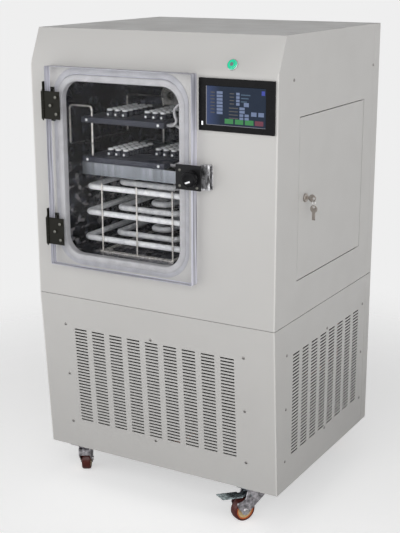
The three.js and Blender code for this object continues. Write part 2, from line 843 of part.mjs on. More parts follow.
function lowerRightPanel() {
  const rear = sideRear - jointGap;
  const across = slotLines(0, rear, sideVentCentre, sideSlotColumns, slotPitchAcross, sideSlotLength);
  const up = slotLines(baseZ, seamZ, baseZ + ventCentreRise, slotRows, slotPitchDown, slotHeight);
  return slottedSheet(across, up, (u, v, face, column) => {
    const front = sideClear + (bottomSetback * (seamZ - v)) / seamRise;
    return [face === 1 ? halfWidth : innerHalf, column === 0 ? front : u, v];
  });
}

function lowerLeftPanel() {
  const rear = sideRear - jointGap;
  const shape = outline([
    [bottomSetback + sideClear, baseZ],
    [rear, baseZ],
    [rear, seamZ],
    [sideClear, seamZ],
  ]);
  return sidePlate(shape, [-halfWidth, -innerHalf]);
}

function rearCover(low, high, topInset, openings) {
  return cut(
    block([-halfWidth, halfWidth], [sideRear, cabinetDepth], [low, high]),
    block(
      [-innerHalf, innerHalf],
      [sideRear - through, cabinetDepth - sheet],
      [low - through, high - topInset],
    ),
    ...openings,
  );
}

function rearUpperCover() {
  const pipeHole = bar(
    "y",
    vacuumBore + vacuumWall + seatGap,
    [cabinetDepth - through, cabinetDepth + through],
    [vacuumX, 0, baseZ + vacuumRise],
    16,
  );
  return rearCover(seamZ + jointGap, topZ, sheet, [pipeHole]);
}

function rearLowerCover() {
  const inletHole = bar(
    "y",
    inletRadius - sheet + seatGap,
    [cabinetDepth - through, cabinetDepth + through],
    [inletX, 0, baseZ + inletRise],
    16,
  );
  return rearCover(baseZ, seamZ, -through, [inletHole]);
}

// ---------------------------------------------------------------- welded frame
function frame() {
  const sides = [-frameHalf, frameHalf - tube];
  const ends = [frameFront, frameRear - tube];
  const members = [];
  for (const low of [baseZ, rackTopZ - tube]) {
    for (const x of sides) {
      members.push(block([x, x + tube], [frameFront, frameRear], [low, low + tube]));
    }
    for (const y of ends) {
      members.push(block([-frameHalf, frameHalf], [y, y + tube], [low, low + tube]));
    }
  }
  for (const x of sides) {
    for (const y of ends) {
      members.push(block([x, x + tube], [y, y + tube], [baseZ, rackTopZ]));
    }
  }
  const railPlaces = [
    shroudRear - tube / 2,
    compressorY - compressorRailSpread,
    compressorY + compressorRailSpread,
    rearCasterY,
  ];
  for (const y of railPlaces) {
    members.push(block([-frameHalf, frameHalf], [y - tube / 2, y + tube / 2], [baseZ, baseZ + tube]));
  }
  members.push(
    block(
      [-frameHalf, frameHalf],
      [insulationRear - 2 * tube, insulationRear - tube],
      [rackTopZ - tube, rackTopZ],
    ),
  );
  members.push(block([-frameHalf, frameHalf], [frameFront, frameRear], [baseZ, baseZ + baseSheet]));
  for (const side of [-1, 1]) {
    for (const y of [frontCasterY, rearCasterY]) {
      const x = side * (halfWidth - casterInsetX);
      members.push(
        block(
          [x - padSize / 2, x + padSize / 2],
          [Math.max(y - padSize / 2, frameFront), Math.min(y + padSize / 2, frameRear)],
          [baseZ, baseZ + padThickness],
        ),
      );
    }
  }
  return join(...members);
}

// ---------------------------------------------------------------- drying chamber
function rearHoles(radius, place) {
  return bar("y", radius, [chamberRear - through, insulationRear + through], place, 12);
}

function vacuumHole(clearance) {
  return bar(
    "y",
    vacuumBore + vacuumWall + clearance,
    [chamberRear - through, insulationRear + through],
    [vacuumX, 0, baseZ + vacuumRise],
    16,
  );
}

function coilEnds() {
  return [
    [coilRight, 0, baseZ + coilTopRise - (coilLevels - 1) * coilLevelPitch],
    [coilLeft + 2 * coilPitch, 0, baseZ + coilTopRise + 2 * coilNestRise],
  ];
}

function hoseEntry() {
  return [chamberRight, shelfFront + hangerSetback, upperShelfZ + hoseRise];
}

function chamberLiner() {
  const opening = gasketLip + seatGap;
  const entry = hoseEntry();
  return cut(
    block(
      [chamberLeft - linerWall, chamberRight + linerWall],
      [linerFront, chamberRear + linerWall],
      [chamberLow - linerWall, chamberTop + linerWall],
    ),
    block([chamberLeft, chamberRight], [chamberFront, chamberRear], [chamberLow, chamberTop]),
    frontPlate(
      roundedRectangle(
        chamberCentre,
        baseZ + gasketCentreRise,
        gasketInnerWidth + 2 * opening,
        gasketInnerHeight + 2 * opening,
        gasketInnerRadius + opening,
      ),
      [linerFront - through, chamberFront + through],
    ),
    vacuumHole(seatGap),
    ...coilEnds().map((place) => rearHoles(coilRadius + seatGap, place)),
    bar("x", hoseRadius + seatGap, [entry[0] - through, entry[0] + through], entry, 10),
  );
}

function chamberInsulation() {
  const inner = linerWall + seatGap;
  const entry = hoseEntry();
  return cut(
    block(
      [chamberLeft - insulationSide, chamberRight + insulationSide],
      [linerFront, insulationRear],
      [insulationLow, chamberTop + insulationSide],
    ),
    block(
      [chamberLeft - inner, chamberRight + inner],
      [linerFront - through, chamberRear + inner],
      [chamberLow - inner, chamberTop + inner],
    ),
    vacuumHole(seatGap),
    ...coilEnds().map((place) => rearHoles(coilRadius + seatGap, place)),
    bar("x", hoseRadius + seatGap, [entry[0], chamberRight + insulationSide + through], entry, 10),
  );
}

function chamberGasket() {
  const centre = [chamberCentre, baseZ + gasketCentreRise];
  const size = [gasketInnerWidth, gasketInnerHeight, gasketInnerRadius];
  const back = linerFront - seatGap;
  return join(
    frontPlate(ringOutline(...centre, ...size, gasketWidth), [doorBack + seatGap, back]),
    frontPlate(ringOutline(...centre, ...size, gasketLip), [back - overlap, back + gasketLipDepth]),
  );
}

// Vials stand shoulder to shoulder, so their outer edge is a row of round scallops.
function vialCluster(left, front, [low, high]) {
  const bump = vialPitch / 2;
  const shape = new THREE.Shape();
  const width = vialColumns * vialPitch;
  const depth = vialRows * vialPitch;
  shape.moveTo(left, front);
  for (let i = 0; i < vialColumns; i += 1) {
    const x = left + i * vialPitch;
    shape.quadraticCurveTo(x + bump, front - vialRadius, x + vialPitch, front);
  }
  for (let i = 0; i < vialRows; i += 1) {
    const y = front + i * vialPitch;
    shape.quadraticCurveTo(left + width + vialRadius, y + bump, left + width, y + vialPitch);
  }
  for (let i = vialColumns; i > 0; i -= 1) {
    const x = left + i * vialPitch;
    shape.quadraticCurveTo(x - bump, front + depth + vialRadius, x - vialPitch, front + depth);
  }
  for (let i = vialRows; i > 0; i -= 1) {
    const y = front + i * vialPitch;
    shape.quadraticCurveTo(left - vialRadius, y - bump, left, y - vialPitch);
  }
  const geometry = extrude(shape, high - low, 3);
  geometry.translate(0, 0, low);
  return geometry;
}

function shelf(topZ, clusters, rodHoles) {
  const body = block(
    [shelfLeft, shelfRight],
    [shelfFront, shelfFront + shelfDepth],
    [topZ - shelfThickness, topZ],
  );
  const vials = clusters.map(([left, front]) =>
    vialCluster(left, front, [topZ - overlap, topZ + vialHeight]),
  );
  const holes = rodHoles.map(([x, y]) =>
    bar("z", rodRadius + runGap, [topZ - shelfThickness - through, topZ + through], [x, y, 0], 10),
  );
  return cut(join(body, ...vials), ...holes);
}

const clusterWidth = vialColumns * vialPitch;
const freeWidth = shelfWidth - 2 * clusterWidth - vialRightGap;
const leftVials = shelfLeft + vialLeftShare * freeWidth;
const rightVials = shelfRight - vialRightGap - clusterWidth;
const upperClusters = [
  [leftVials, shelfFront + vialFront],
  [rightVials, shelfFront + vialUpperFront],
];
const lowerClusters = [
  [leftVials, shelfFront + vialFront],
  [rightVials, shelfFront + vialLowerFront],
];

function hangerPlaces() {
  const frontY = shelfFront + hangerSetback;
  const rearY = shelfFront + hangerRearSetback;
  return {
    left: [
      [shelfLeft + hangerInset, frontY],
      [shelfLeft + hangerRearInset, rearY],
    ],
    right: [
      [shelfRight - hangerRightInset, shelfFront + hangerRightSetback],
      [shelfRight - hangerRightInset, rearY],
    ],
  };
}

function drippingTray() {
  const high = lowerShelfZ - shelfThickness - seatGap;
  const low = high - trayHeight;
  const right = shelfLeft + trayWidth;
  const rear = shelfFront + shelfDepth;
  return cut(
    block([shelfLeft, right], [shelfFront, rear], [low, high]),
    block(
      [shelfLeft + trayWall, right - trayWall],
      [shelfFront + trayWall, rear - trayWall],
      [low + trayWall, high + through],
    ),
  );
}

// Two bent rods that hang the shelves, welded to a flat bar on the chamber's wall.
function shelfHanger(places, side) {
  const wall = side < 0 ? chamberLeft + seatGap : chamberRight - seatGap;
  const topBar = baseZ + hangerRise;
  const foot = baseZ + hangerFootRise;
  const footLow = lowerShelfZ + seatGap;
  const lane = wall - side * (rodRadius + seatGap);
  const rods = places.map(([x, y]) =>
    rod(
      [
        [x, y, footLow],
        [x, y, topBar],
        [lane, y, topBar],
        [lane, y, foot],
      ],
      rodRadius,
      rodBend,
    ),
  );
  const inner = wall - side * 3 * rodRadius;
  const wallBar = block(
    [Math.min(wall, inner), Math.max(wall, inner)],
    [places[0][1] - 2 * rodRadius, places[1][1] + 2 * rodRadius],
    [foot - 2 * rodRadius, foot + 2 * rodRadius],
  );
  return join(wallBar, ...rods);
}

// One level of the coil, from its rear right end to its rear middle end.
function coilLevel(level) {
  const z = baseZ + coilTopRise - level * coilLevelPitch;
  const points = [];
  for (let nest = 0; nest < 3; nest += 1) {
    const spread = nest === 2 ? 0 : level * coilLevelSpread;
    const left = coilLeft + nest * coilPitch - spread;
    const right = coilRight - nest * coilPitch;
    const front = coilFront + nest * coilPitchDeep;
    const height = z + nest * coilNestRise;
    const run = [
      [right, coilRear, height],
      [right, front, height],
      [left, front, height],
      [left, coilRear, height],
    ];
    points.push(...(nest % 2 === 0 ? run : run.reverse()));
  }
  return points;
}

function coldTrapCoil() {
  const end = insulationRear + coilTail;
  const points = [];
  for (let level = coilLevels - 1; level >= 0; level -= 1) {
    const run = coilLevel(level);
    points.push(...((coilLevels - 1 - level) % 2 === 0 ? run : run.reverse()));
  }
  points[0] = [points[0][0], end, points[0][2]];
  const last = points.length - 1;
  points[last] = [points[last][0], end, points[last][2]];
  return rod(points, coilRadius, coilBend, { bendSteps: 1 });
}

function coilStand() {
  const low = chamberLow + seatGap;
  const high = baseZ + coilTopRise + standRodTop;
  const frontY = coilFront - coilRadius - seatGap - standRodRadius;
  const rearY = coilRear + coilRadius + seatGap + standRodRadius;
  const left = coilLeft + standLeftInset;
  const right = coilRight - standRightInset;
  const middle = (left + right) / 2;
  const half = standBarWidth / 2;
  const members = [
    block([left - half, right + half], [frontY - half, frontY + half], [low, low + standBarHeight]),
    block([left - half, right + half], [rearY - half, rearY + half], [low, low + standBarHeight]),
  ];
  for (const x of [left, right]) {
    members.push(block([x - half, x + half], [frontY, rearY], [low, low + standBarHeight]));
    members.push(bar("z", standRodRadius, [low + overlap, high], [x, rearY, 0], 6));
  }
  for (const x of [left, middle, right]) {
    members.push(bar("z", standRodRadius, [low + overlap, high], [x, frontY, 0], 6));
  }
  return join(...members);
}

class HosePath extends THREE.CatmullRomCurve3 {
  constructor(points) {
    super(points.map(([x, y, z]) => new THREE.Vector3(x, y, z)));
  }
}

function hose(points, steps) {
  return new THREE.ExtrudeGeometry(roundSection(hoseRadius, 6), {
    steps,
    extrudePath: new HosePath(points),
    bevelEnabled: false,
  });
}

// The hoses' bends are laid out in multiples of the hose's radius.
function supplyHose() {
  const r = hoseRadius;
  const y = shelfFront + hangerSetback;
  const z = upperShelfZ - shelfThickness / 2;
  const x = shelfRight + seatGap;
  const [entryX, entryY, entryZ] = hoseEntry();
  return hose(
    [
      [x, y, z],
      [x + 4 * r, y, z],
      [x + 6.75 * r, y, z + 3 * r],
      [x + 5.5 * r, y, z + 7 * r],
      [x + 6 * r, y, z + 11 * r],
      [x + 12.5 * r, y, z + hoseRise],
      [entryX - 3 * r, entryY, entryZ],
      [entryX + linerWall, entryY, entryZ],
    ],
    14,
  );
}

function linkHose() {
  const r = hoseRadius;
  const y = shelfFront + hangerSetback + 4 * hoseRadius;
  const x = shelfRight + seatGap;
  const high = upperShelfZ - shelfThickness / 2;
  const low = lowerShelfZ - shelfThickness / 2;
  return hose(
    [
      [x, y, high],
      [x + 3 * r, y, high],
      [x + 9 * r, y, high - 4 * r],
      [x + 11.5 * r, y, (high + low) / 2],
      [x + 9 * r, y, low + 4 * r],
      [x + 3 * r, y, low],
      [x, y, low],
    ],
    14,
  );
}

// ---------------------------------------------------------------- pipes through the rear
function vacuumPipe() {
  const inner = chamberRear - seatGap;
  const outer = cabinetDepth + vacuumPortReach;
  const wall = vacuumBore + vacuumWall;
  const profile = [
    [vacuumBore, -inner + vacuumFlangeThickness],
    [vacuumFlangeRadius, -inner + vacuumFlangeThickness],
    [vacuumFlangeRadius, -inner],
    [wall, -inner],
    [wall, -outer + vacuumPortThickness],
    [vacuumPortRadius, -outer + vacuumPortThickness],
    [vacuumPortRadius, -outer],
    [vacuumBore, -outer],
    [vacuumBore, -inner + vacuumFlangeThickness],
  ].reverse();
  const pipe = turned(profile, 16);
  pipe.rotateX(Math.PI / 2);
  pipe.translate(vacuumX, 0, baseZ + vacuumRise);
  return pipe;
}

function powerInlet() {
  const outer = cabinetDepth + inletReach;
  const neck = inletRadius - sheet;
  const face = cabinetDepth + seatGap;
  const profile = [
    [inletBore, -cabinetDepth + inletNutThickness + sheet],
    [neck, -cabinetDepth + inletNutThickness + sheet],
    [neck, -face],
    [inletRadius, -face],
    [inletRadius, -face - inletNutThickness],
    [neck, -face - inletNutThickness],
    [inletBore + sheet, -outer],
    [inletBore, -outer],
    [inletBore, -cabinetDepth + inletNutThickness + sheet],
  ].reverse();
  const gland = turned(profile, 16);
  gland.rotateX(Math.PI / 2);
  gland.translate(inletX, 0, baseZ + inletRise);
  return gland;
}

// ---------------------------------------------------------------- touch panel and power button
function panelBezel() {
  const low = baseZ + panelLowRise;
  const back = -seatGap;
  const front = back - panelFlange;
  const screenLeft = panelLeft + screenLeftMargin;
  const screenLow = low + screenLowMargin;
  return cut(
    join(
      block([panelLeft, panelLeft + panelWidth], [front, back], [low, low + panelHeight]),
      block(
        [panelLeft + panelBodyInset, panelLeft + panelWidth - panelBodyInset],
        [back - overlap, panelBodyDepth],
        [low + panelBodyInset, low + panelHeight - panelBodyInset],
      ),
    ),
    block(
      [screenLeft - seatGap, screenLeft + screenWidth + seatGap],
      [front - through, front + seatGap + screenThickness + seatGap],
      [screenLow - seatGap, screenLow + screenHeight + seatGap],
    ),
  );
}

function panelScreen() {
  const front = -panelFlange;
  const left = panelLeft + screenLeftMargin;
  const low = baseZ + panelLowRise + screenLowMargin;
  return block([left, left + screenWidth], [front, front + screenThickness], [low, low + screenHeight]);
}

function buttonHousing() {
  const bore = buttonCapRadius + runGap;
  const profile = [
    [bore, -buttonBarrelLength],
    [buttonBarrelRadius, -buttonBarrelLength],
    [buttonBarrelRadius, seatGap],
    [buttonFlangeRadius, seatGap],
    [buttonFlangeRadius, seatGap + buttonFlangeThickness - 1],
    [buttonFlangeRadius - 1, seatGap + buttonFlangeThickness],
    [bore, seatGap + buttonFlangeThickness],
    [bore, -buttonBarrelLength],
  ];
  return onSlope(turned(profile, 16));
}

function buttonCap() {
  const top = seatGap + buttonFlangeThickness + buttonCapProud;
  const profile = [
    [0, top - buttonCapLength],
    [buttonCapRadius, top - buttonCapLength],
    [buttonCapRadius, top - 1],
    [buttonCapRadius - 1, top],
    [0, top],
  ];
  const cap = turned(profile, 16);
  cap.rotateX(Math.PI / 2 - slopeAngle);
  return cap;
}

// ---------------------------------------------------------------- chamber door, hinges and latch
function chamberDoor() {
  return frontPlate(
    roundedRectangle(
      doorLeft + doorWidth / 2,
      doorLow + doorHeight / 2,
      doorWidth,
      doorHeight,
      doorCornerRadius,
    ),
    [doorFront, doorBack],
    2,
  );
}

function hingeBarrel([low, high], radius) {
  return bar("z", radius, [low, high], [hingeX, hingeY, 0], 12);
}

function hingeBracket(rise) {
  const middle = baseZ + rise;
  const low = middle - hingeHeight / 2;
  const high = middle + hingeHeight / 2;
  const third = hingeHeight / 3;
  const back = -seatGap;
  const webLeft = hingeX - hingePlate * 0.4;
  const body = cut(
    join(
      block(
        [webLeft, webLeft + hingeFootReach],
        [back - hingePlate, back],
        [low - hingeFootEnd, high + hingeFootEnd],
      ),
      block([webLeft, webLeft + hingePlate], [hingeY, back], [low, high + hingeWebRise]),
      hingeBarrel([low, low + third], hingeBarrelRadius),
      hingeBarrel([high - third, high], hingeBarrelRadius),
    ),
    hingeBarrel([low + third, high - third], hingeBarrelRadius + runGap),
  );
  return join(body, hingeBarrel([low - hingePinReach, high + hingePinReach], hingePinRadius));
}

function hingeLeaf(rise) {
  const middle = baseZ + rise;
  const low = middle - hingeHeight / 2;
  const high = middle + hingeHeight / 2;
  const third = hingeHeight / 3;
  const clear = hingeBarrelRadius + runGap;
  const plate = cut(
    block([hingeX, hingeX + hingeLeafReach], [hingeY, doorFront - seatGap], [low, high]),
    hingeBarrel([low - through, low + third + seatGap], clear),
    hingeBarrel([high - third - seatGap, high + through], clear),
  );
  return cut(
    join(plate, hingeBarrel([low + third + seatGap, high - third - seatGap], hingeBarrelRadius)),
    hingeBarrel([low - through, high + through], hingePinRadius + runGap),
  );
}

function latchPlate() {
  const left = doorRight + latchOverhang - latchWidth;
  return cut(
    block(
      [left, left + latchWidth],
      [latchFront, latchBack],
      [latchZ - latchHeight / 2, latchZ + latchHeight / 2],
    ),
    bar(
      "y",
      latchShaftRadius + runGap,
      [latchFront - through, latchBack + through],
      [latchShaftX, 0, latchZ],
      12,
    ),
  );
}

// The knob, its shaft and the cam behind the latch plate; the cam points up while released.
function latchKnob() {
  const neck = latchFront - seatGap - knobNeckLength;
  const face = neck - knobLength;
  const shaftEnd = -camStandoff;
  const profile = [
    [0, -shaftEnd],
    [latchShaftRadius, -shaftEnd],
    [latchShaftRadius, -latchFront + seatGap],
    [knobNeckRadius, -latchFront + seatGap],
    [knobNeckRadius, -neck],
    [knobRadius, -neck + 1],
    [knobRadius, -face - 3],
    [knobRadius - 4, -face],
    [0, -face],
  ];
  const knob = turned(profile, 20);
  knob.rotateX(Math.PI / 2);
  const cam = block(
    [-camWidth / 2, camWidth / 2],
    [shaftEnd - camThickness, shaftEnd],
    [-camWidth / 2, camLength],
  );
  return join(knob, cam);
}

function latchStrike() {
  const left = doorRight + strikeEdgeGap;
  const right = left + strikeWidth;
  const low = latchZ - strikeHeight / 2;
  const high = latchZ + strikeHeight / 2;
  const back = -seatGap;
  const bridge = -strikeStandoff;
  return join(
    block([left, right], [back - strikePlate, back], [low, high]),
    block([left, right], [bridge, back], [low, low + strikePlate]),
    block([left, right], [bridge, back], [high - strikePlate, high]),
    block([left + strikePlate, right], [bridge, bridge + strikePlate], [low, high]),
  );
}

// ---------------------------------------------------------------- side access door, lock and keys
function accessDoor() {
  const rearEdge = accessRear;
  const pan = cut(
    block([halfWidth - sheet - accessReturn, halfWidth], [accessFront, rearEdge], [accessLow, accessTop]),
    block(
      [halfWidth - sheet - accessReturn - through, halfWidth - sheet],
      [accessFront + sheet, rearEdge - sheet],
      [accessLow + sheet, accessTop - sheet],
    ),
    bar("x", lockBarrelRadius + seatGap, [innerHalf - through, halfWidth + through], [0, lockY, lockZ], 16),
  );
  const pinPlace = [accessPivotX, accessPivotY, 0];
  return join(
    pan,
    bar("z", accessPinRadius, [accessTop - overlap, accessTop + accessPinLength], pinPlace, 8),
    bar("z", accessPinRadius, [accessLow - accessPinLength, accessLow + overlap], pinPlace, 8),
  );
}

function lockBarrel() {
  const bore = lockPlugRadius + runGap;
  const profile = [
    [bore, lockBackX],
    [lockBarrelRadius, lockBackX],
    [lockBarrelRadius, halfWidth + seatGap],
    [lockFlangeRadius, halfWidth + seatGap],
    [lockFlangeRadius, lockFaceX - 1],
    [lockFlangeRadius - 1, lockFaceX],
    [bore, lockFaceX],
    [bore, lockBackX],
  ];
  const barrel = turned(profile, 16);
  barrel.rotateY(Math.PI / 2);
  barrel.translate(0, lockY, lockZ);
  return barrel;
}

// Pieces on the lock's axis are made with the axis along x through zero.
function lockPlug() {
  const back = lockBackX - seatGap;
  return cut(
    join(
      bar("x", lockPlugRadius, [back - lockCamThickness, lockFaceX], [0, 0, 0], 14),
      block(
        [back - lockCamThickness, back],
        [-lockCamWidth / 2, lockCamWidth / 2],
        [-lockCamLength, lockCamWidth / 2],
      ),
    ),
    block(
      [lockFaceX - keyDepth, lockFaceX + through],
      [-keyThickness / 2 - seatGap, keyThickness / 2 + seatGap],
      [-keyWidth / 2 - seatGap, keyWidth / 2 + seatGap],
    ),
  );
}

function doorKey() {
  const bow = bar("y", keyBowRadius, [-keyThickness / 2, keyThickness / 2], [keyBowX, 0, 0], 16);
  const blade = block(
    [lockFaceX - keyDepth + seatGap, keyBowX],
    [-keyThickness / 2, keyThickness / 2],
    [-keyWidth / 2, keyWidth / 2],
  );
  const hole = bar("y", keyHoleRadius, [-keyThickness, keyThickness], [keyHoleX, 0, 0], 10);
  return cut(join(bow, blade), hole);
}

function keyRing() {
  const ring = new THREE.TorusGeometry(keyRingRadius, keyRingWire, 6, 20);
  ring.rotateY(Math.PI / 2);
  ring.translate(0, 0, -keyRingRadius);
  return ring;
}

function spareKey() {
  const bowDrop = keyBowRadius - keyHoleRadius * 1.8;
  const bow = bar("y", keyBowRadius, [-keyThickness / 2, keyThickness / 2], [0, 0, -bowDrop], 16);
  const blade = block(
    [-keyWidth / 2, keyWidth / 2],
    [-keyThickness / 2, keyThickness / 2],
    [-bowDrop - spareKeyBlade - keyBowRadius / 2, -bowDrop],
  );
  const hole = bar("y", keyHoleRadius, [-keyThickness, keyThickness], [0, 0, 0], 10);
  return cut(join(bow, blade), hole);
}

// ---------------------------------------------------------------- refrigeration and electrics
const floorRailTop = baseZ + tube + seatGap;
const condenserRight = condenserLeft + condenserWidth;
const fanX = condenserLeft + condenserWidth / 2;
const fanZ = floorRailTop + condenserHeight / 2;
const shroudFront = condenserFront + condenserCore;
const shroudRear = shroudFront + shroudDepth;
const dischargeZ = floorRailTop + condenserHeight - dischargeTopGap;

function compressor() {
  const low = floorRailTop + compressorBasePlate - overlap;
  const high = low + compressorHeight;
  const shoulder = compressorRadius * 0.35;
  const profile = [
    [0, low],
    [compressorRadius - shoulder / 2, low],
    [compressorRadius, low + shoulder],
    [compressorRadius, high - shoulder],
    [compressorRadius - shoulder, high - shoulder / 4],
    [0, high],
  ];
  const pot = turned(profile, 18);
  pot.translate(compressorX, compressorY, 0);
  const spread = compressorRailSpread + tube / 2;
  const dischargeY = compressorY - compressorRadius * 0.3;
  return join(
    pot,
    block(
      [compressorX - spread, compressorX + spread],
      [compressorY - spread, compressorY + spread],
      [floorRailTop, floorRailTop + compressorBasePlate],
    ),
    rod(
      [
        [compressorX - compressorRadius / 2, dischargeY, dischargeZ - dischargeDrop],
        [condenserRight + pipeLaneGap, dischargeY, dischargeZ - dischargeDrop],
        [condenserRight + pipeLaneGap, dischargeY, dischargeZ],
        [condenserRight + pipeLaneGap, condenserFront + condenserCore / 2, dischargeZ],
        [condenserRight + seatGap, condenserFront + condenserCore / 2, dischargeZ],
      ],
      pipeRadius,
      pipeBend,
    ),
  );
}

function condenser() {
  const low = floorRailTop;
  const high = low + condenserHeight;
  return join(
    block([condenserLeft, condenserRight], [condenserFront, shroudFront], [low, high]),
    cut(
      block([condenserLeft, condenserRight], [shroudFront - overlap, shroudRear], [low, high]),
      block(
        [condenserLeft + shroudWall, condenserRight - shroudWall],
        [shroudFront - through, shroudRear - shroudWall],
        [low + shroudWall, high - shroudWall],
      ),
      bar("y", fanRadius + fanTipGap, [shroudRear - through, shroudRear + through], [fanX, 0, fanZ], 24),
    ),
  );
}

// The fan's hub, blades and shaft, made around its own axis along y.
function condenserFan() {
  const hubFront = shroudFront + (shroudDepth - shroudWall - fanHubLength) / 2;
  const pieces = [
    bar("y", fanHubRadius, [hubFront, hubFront + fanHubLength], [0, 0, 0], 14),
    bar("y", fanShaftRadius, [hubFront + overlap, shroudRear + motorLength / 2], [0, 0, 0], 8),
  ];
  for (let i = 0; i < fanBlades; i += 1) {
    const blade = new THREE.BoxGeometry(fanBladeWidth, fanBladeThickness, fanRadius - fanHubRadius);
    blade.rotateZ(fanBladeTwist);
    blade.translate(0, hubFront + fanHubLength / 2, (fanRadius + fanHubRadius) / 2 - 2 * overlap);
    blade.rotateY((2 * Math.PI * i) / fanBlades);
    pieces.push(blade);
  }
  return join(...pieces);
}

function fanMotor() {
  const bracketFront = shroudRear + seatGap;
  const motorFront = bracketFront + motorBracketThickness - overlap;
  return cut(
    join(
      block(
        [condenserLeft, condenserRight],
        [bracketFront, bracketFront + motorBracketThickness],
        [fanZ - motorBracketHeight / 2, fanZ + motorBracketHeight / 2],
      ),
      bar("y", motorRadius, [motorFront, motorFront + motorLength], [fanX, 0, fanZ], 18),
    ),
    bar(
      "y",
      fanShaftRadius + runGap,
      [bracketFront - through, shroudRear + motorLength / 2 + seatGap],
      [fanX, 0, fanZ],
      8,
    ),
  );
}

function suctionLine() {
  const [x, , z] = coilEnds()[1];
  const start = insulationRear + coilTail + seatGap;
  const drop = compressorX + compressorRadius + suctionLaneGap;
  const entryZ = floorRailTop + compressorHeight * 0.7;
  return rod(
    [
      [x, start, z],
      [x, pipeBackLane, z],
      [drop, pipeBackLane, z],
      [drop, pipeBackLane, entryZ],
      [drop, compressorY, entryZ],
      [compressorX + compressorRadius + seatGap, compressorY, entryZ],
    ],
    pipeRadius,
    pipeBend * 0.7,
  );
}

function liquidLine() {
  const [x, , z] = coilEnds()[0];
  const start = insulationRear + coilTail + seatGap;
  const dropX = x - liquidSideReach;
  const crossY = shroudRear + liquidFrontGap;
  const low = floorRailTop + liquidLowRise;
  const lane = condenserFront + condenserCore / 2;
  const drierZ = floorRailTop + drierRise;
  const pipe = rod(
    [
      [x, start, z],
      [x, liquidLane, z],
      [dropX, liquidLane, z],
      [dropX, liquidLane, low],
      [dropX, crossY, low],
      [condenserRight + pipeLaneGap, crossY, low],
      [condenserRight + pipeLaneGap, lane, low],
      [condenserRight + seatGap, lane, low],
    ],
    pipeRadius,
    pipeBend * 0.7,
  );
  const drier = bar(
    "z",
    drierRadius,
    [drierZ, drierZ + drierLength],
    [dropX, liquidLane, 0],
    14,
  );
  return join(pipe, drier);
}

function controlBox() {
  const left = chamberRight + insulationSide + seatGap;
  const low = baseZ + controlBoxLowRise;
  return block(
    [left, left + controlBoxDepth],
    [controlBoxFront, controlBoxFront + controlBoxLength],
    [low, low + controlBoxHeight],
  );
}

// ---------------------------------------------------------------- casters
const casterPlateTop = baseZ - seatGap;
const casterPlateLow = casterPlateTop - casterPlateThickness;
const raceLow = casterPlateLow - casterRaceHeight;
const forkTop = raceLow - seatGap;
const forkTopLow = forkTop - forkThickness;
const legInner = wheelWidth / 2 + wheelSideGap;
const legOuter = legInner + forkThickness;

function casterPlatePiece() {
  const headTop = forkTopLow - seatGap;
  const profile = [
    [0, headTop - kingpinHeadHeight],
    [kingpinHeadRadius, headTop - kingpinHeadHeight],
    [kingpinHeadRadius, headTop],
    [kingpinRadius, headTop],
    [kingpinRadius, raceLow],
    [casterRaceRadius, raceLow],
    [casterRaceRadius, casterPlateLow + overlap],
    [0, casterPlateLow + overlap],
  ];
  return join(
    turned(profile, 10),
    block(
      [-casterPlate / 2, casterPlate / 2],
      [-casterPlate / 2, casterPlate / 2],
      [casterPlateLow, casterPlateTop],
    ),
  );
}

// The fork trails its wheel along +Y of its own group.
function casterFork(hasBrake) {
  const back = -forkBackReach;
  const webLow = forkTop - forkBackHeight;
  const legShape = outline([
    [back, forkTop],
    [back, webLow],
    [wheelTrail - axleHeadRadius, wheelRadius - axleHeadRadius],
    [wheelTrail + axleHeadRadius, wheelRadius - axleHeadRadius],
    [wheelTrail + axleHeadRadius * 1.2, wheelRadius + axleHeadRadius],
    [forkTopRadius + forkThickness, forkTop],
  ]);
  const pieces = [
    bar("z", forkTopRadius, [forkTopLow, forkTop], [0, 0, 0], 14),
    block([-legOuter, legOuter], [back, forkTopRadius], [forkTopLow, forkTop]),
    block([-legOuter, legOuter], [back, back + forkThickness], [webLow, forkTop]),
  ];
  for (const side of [-1, 1]) {
    const faces = [side * legInner, side * legOuter].sort((a, b) => a - b);
    pieces.push(sidePlate(legShape, faces));
  }
  const holes = [bar("z", kingpinRadius + runGap, [forkTopLow - through, forkTop + through], [0, 0, 0], 10)];
  if (hasBrake) {
    const place = [0, pedalPivotTrail, pedalPivotRise];
    holes.push(bar("x", pedalPinRadius + runGap, [-legOuter - through, legOuter + through], place, 8));
  }
  const reach = legOuter + axleHeadLength;
  const place = [0, wheelTrail, wheelRadius];
  return join(
    cut(join(...pieces), ...holes),
    bar("x", axleRadius, [-reach, reach], place, 8),
    bar("x", axleHeadRadius, [-reach, -legOuter + overlap], place, 6),
    bar("x", axleHeadRadius, [legOuter - overlap, reach], place, 6),
  );
}

function casterWheel() {
  const half = wheelWidth / 2;
  const bore = axleRadius + runGap;
  const recess = half - wheelHubRecess;
  const profile = [
    [bore, -recess],
    [wheelHubRadius, -recess],
    [wheelHubRadius + 1, -half],
    [wheelRadius, -half + 4],
    [wheelRadius, half - 4],
    [wheelHubRadius + 1, half],
    [wheelHubRadius, recess],
    [bore, recess],
    [bore, -recess],
  ];
  const wheel = turned(profile, wheelSides);
  wheel.rotateY(Math.PI / 2);
  return wheel;
}

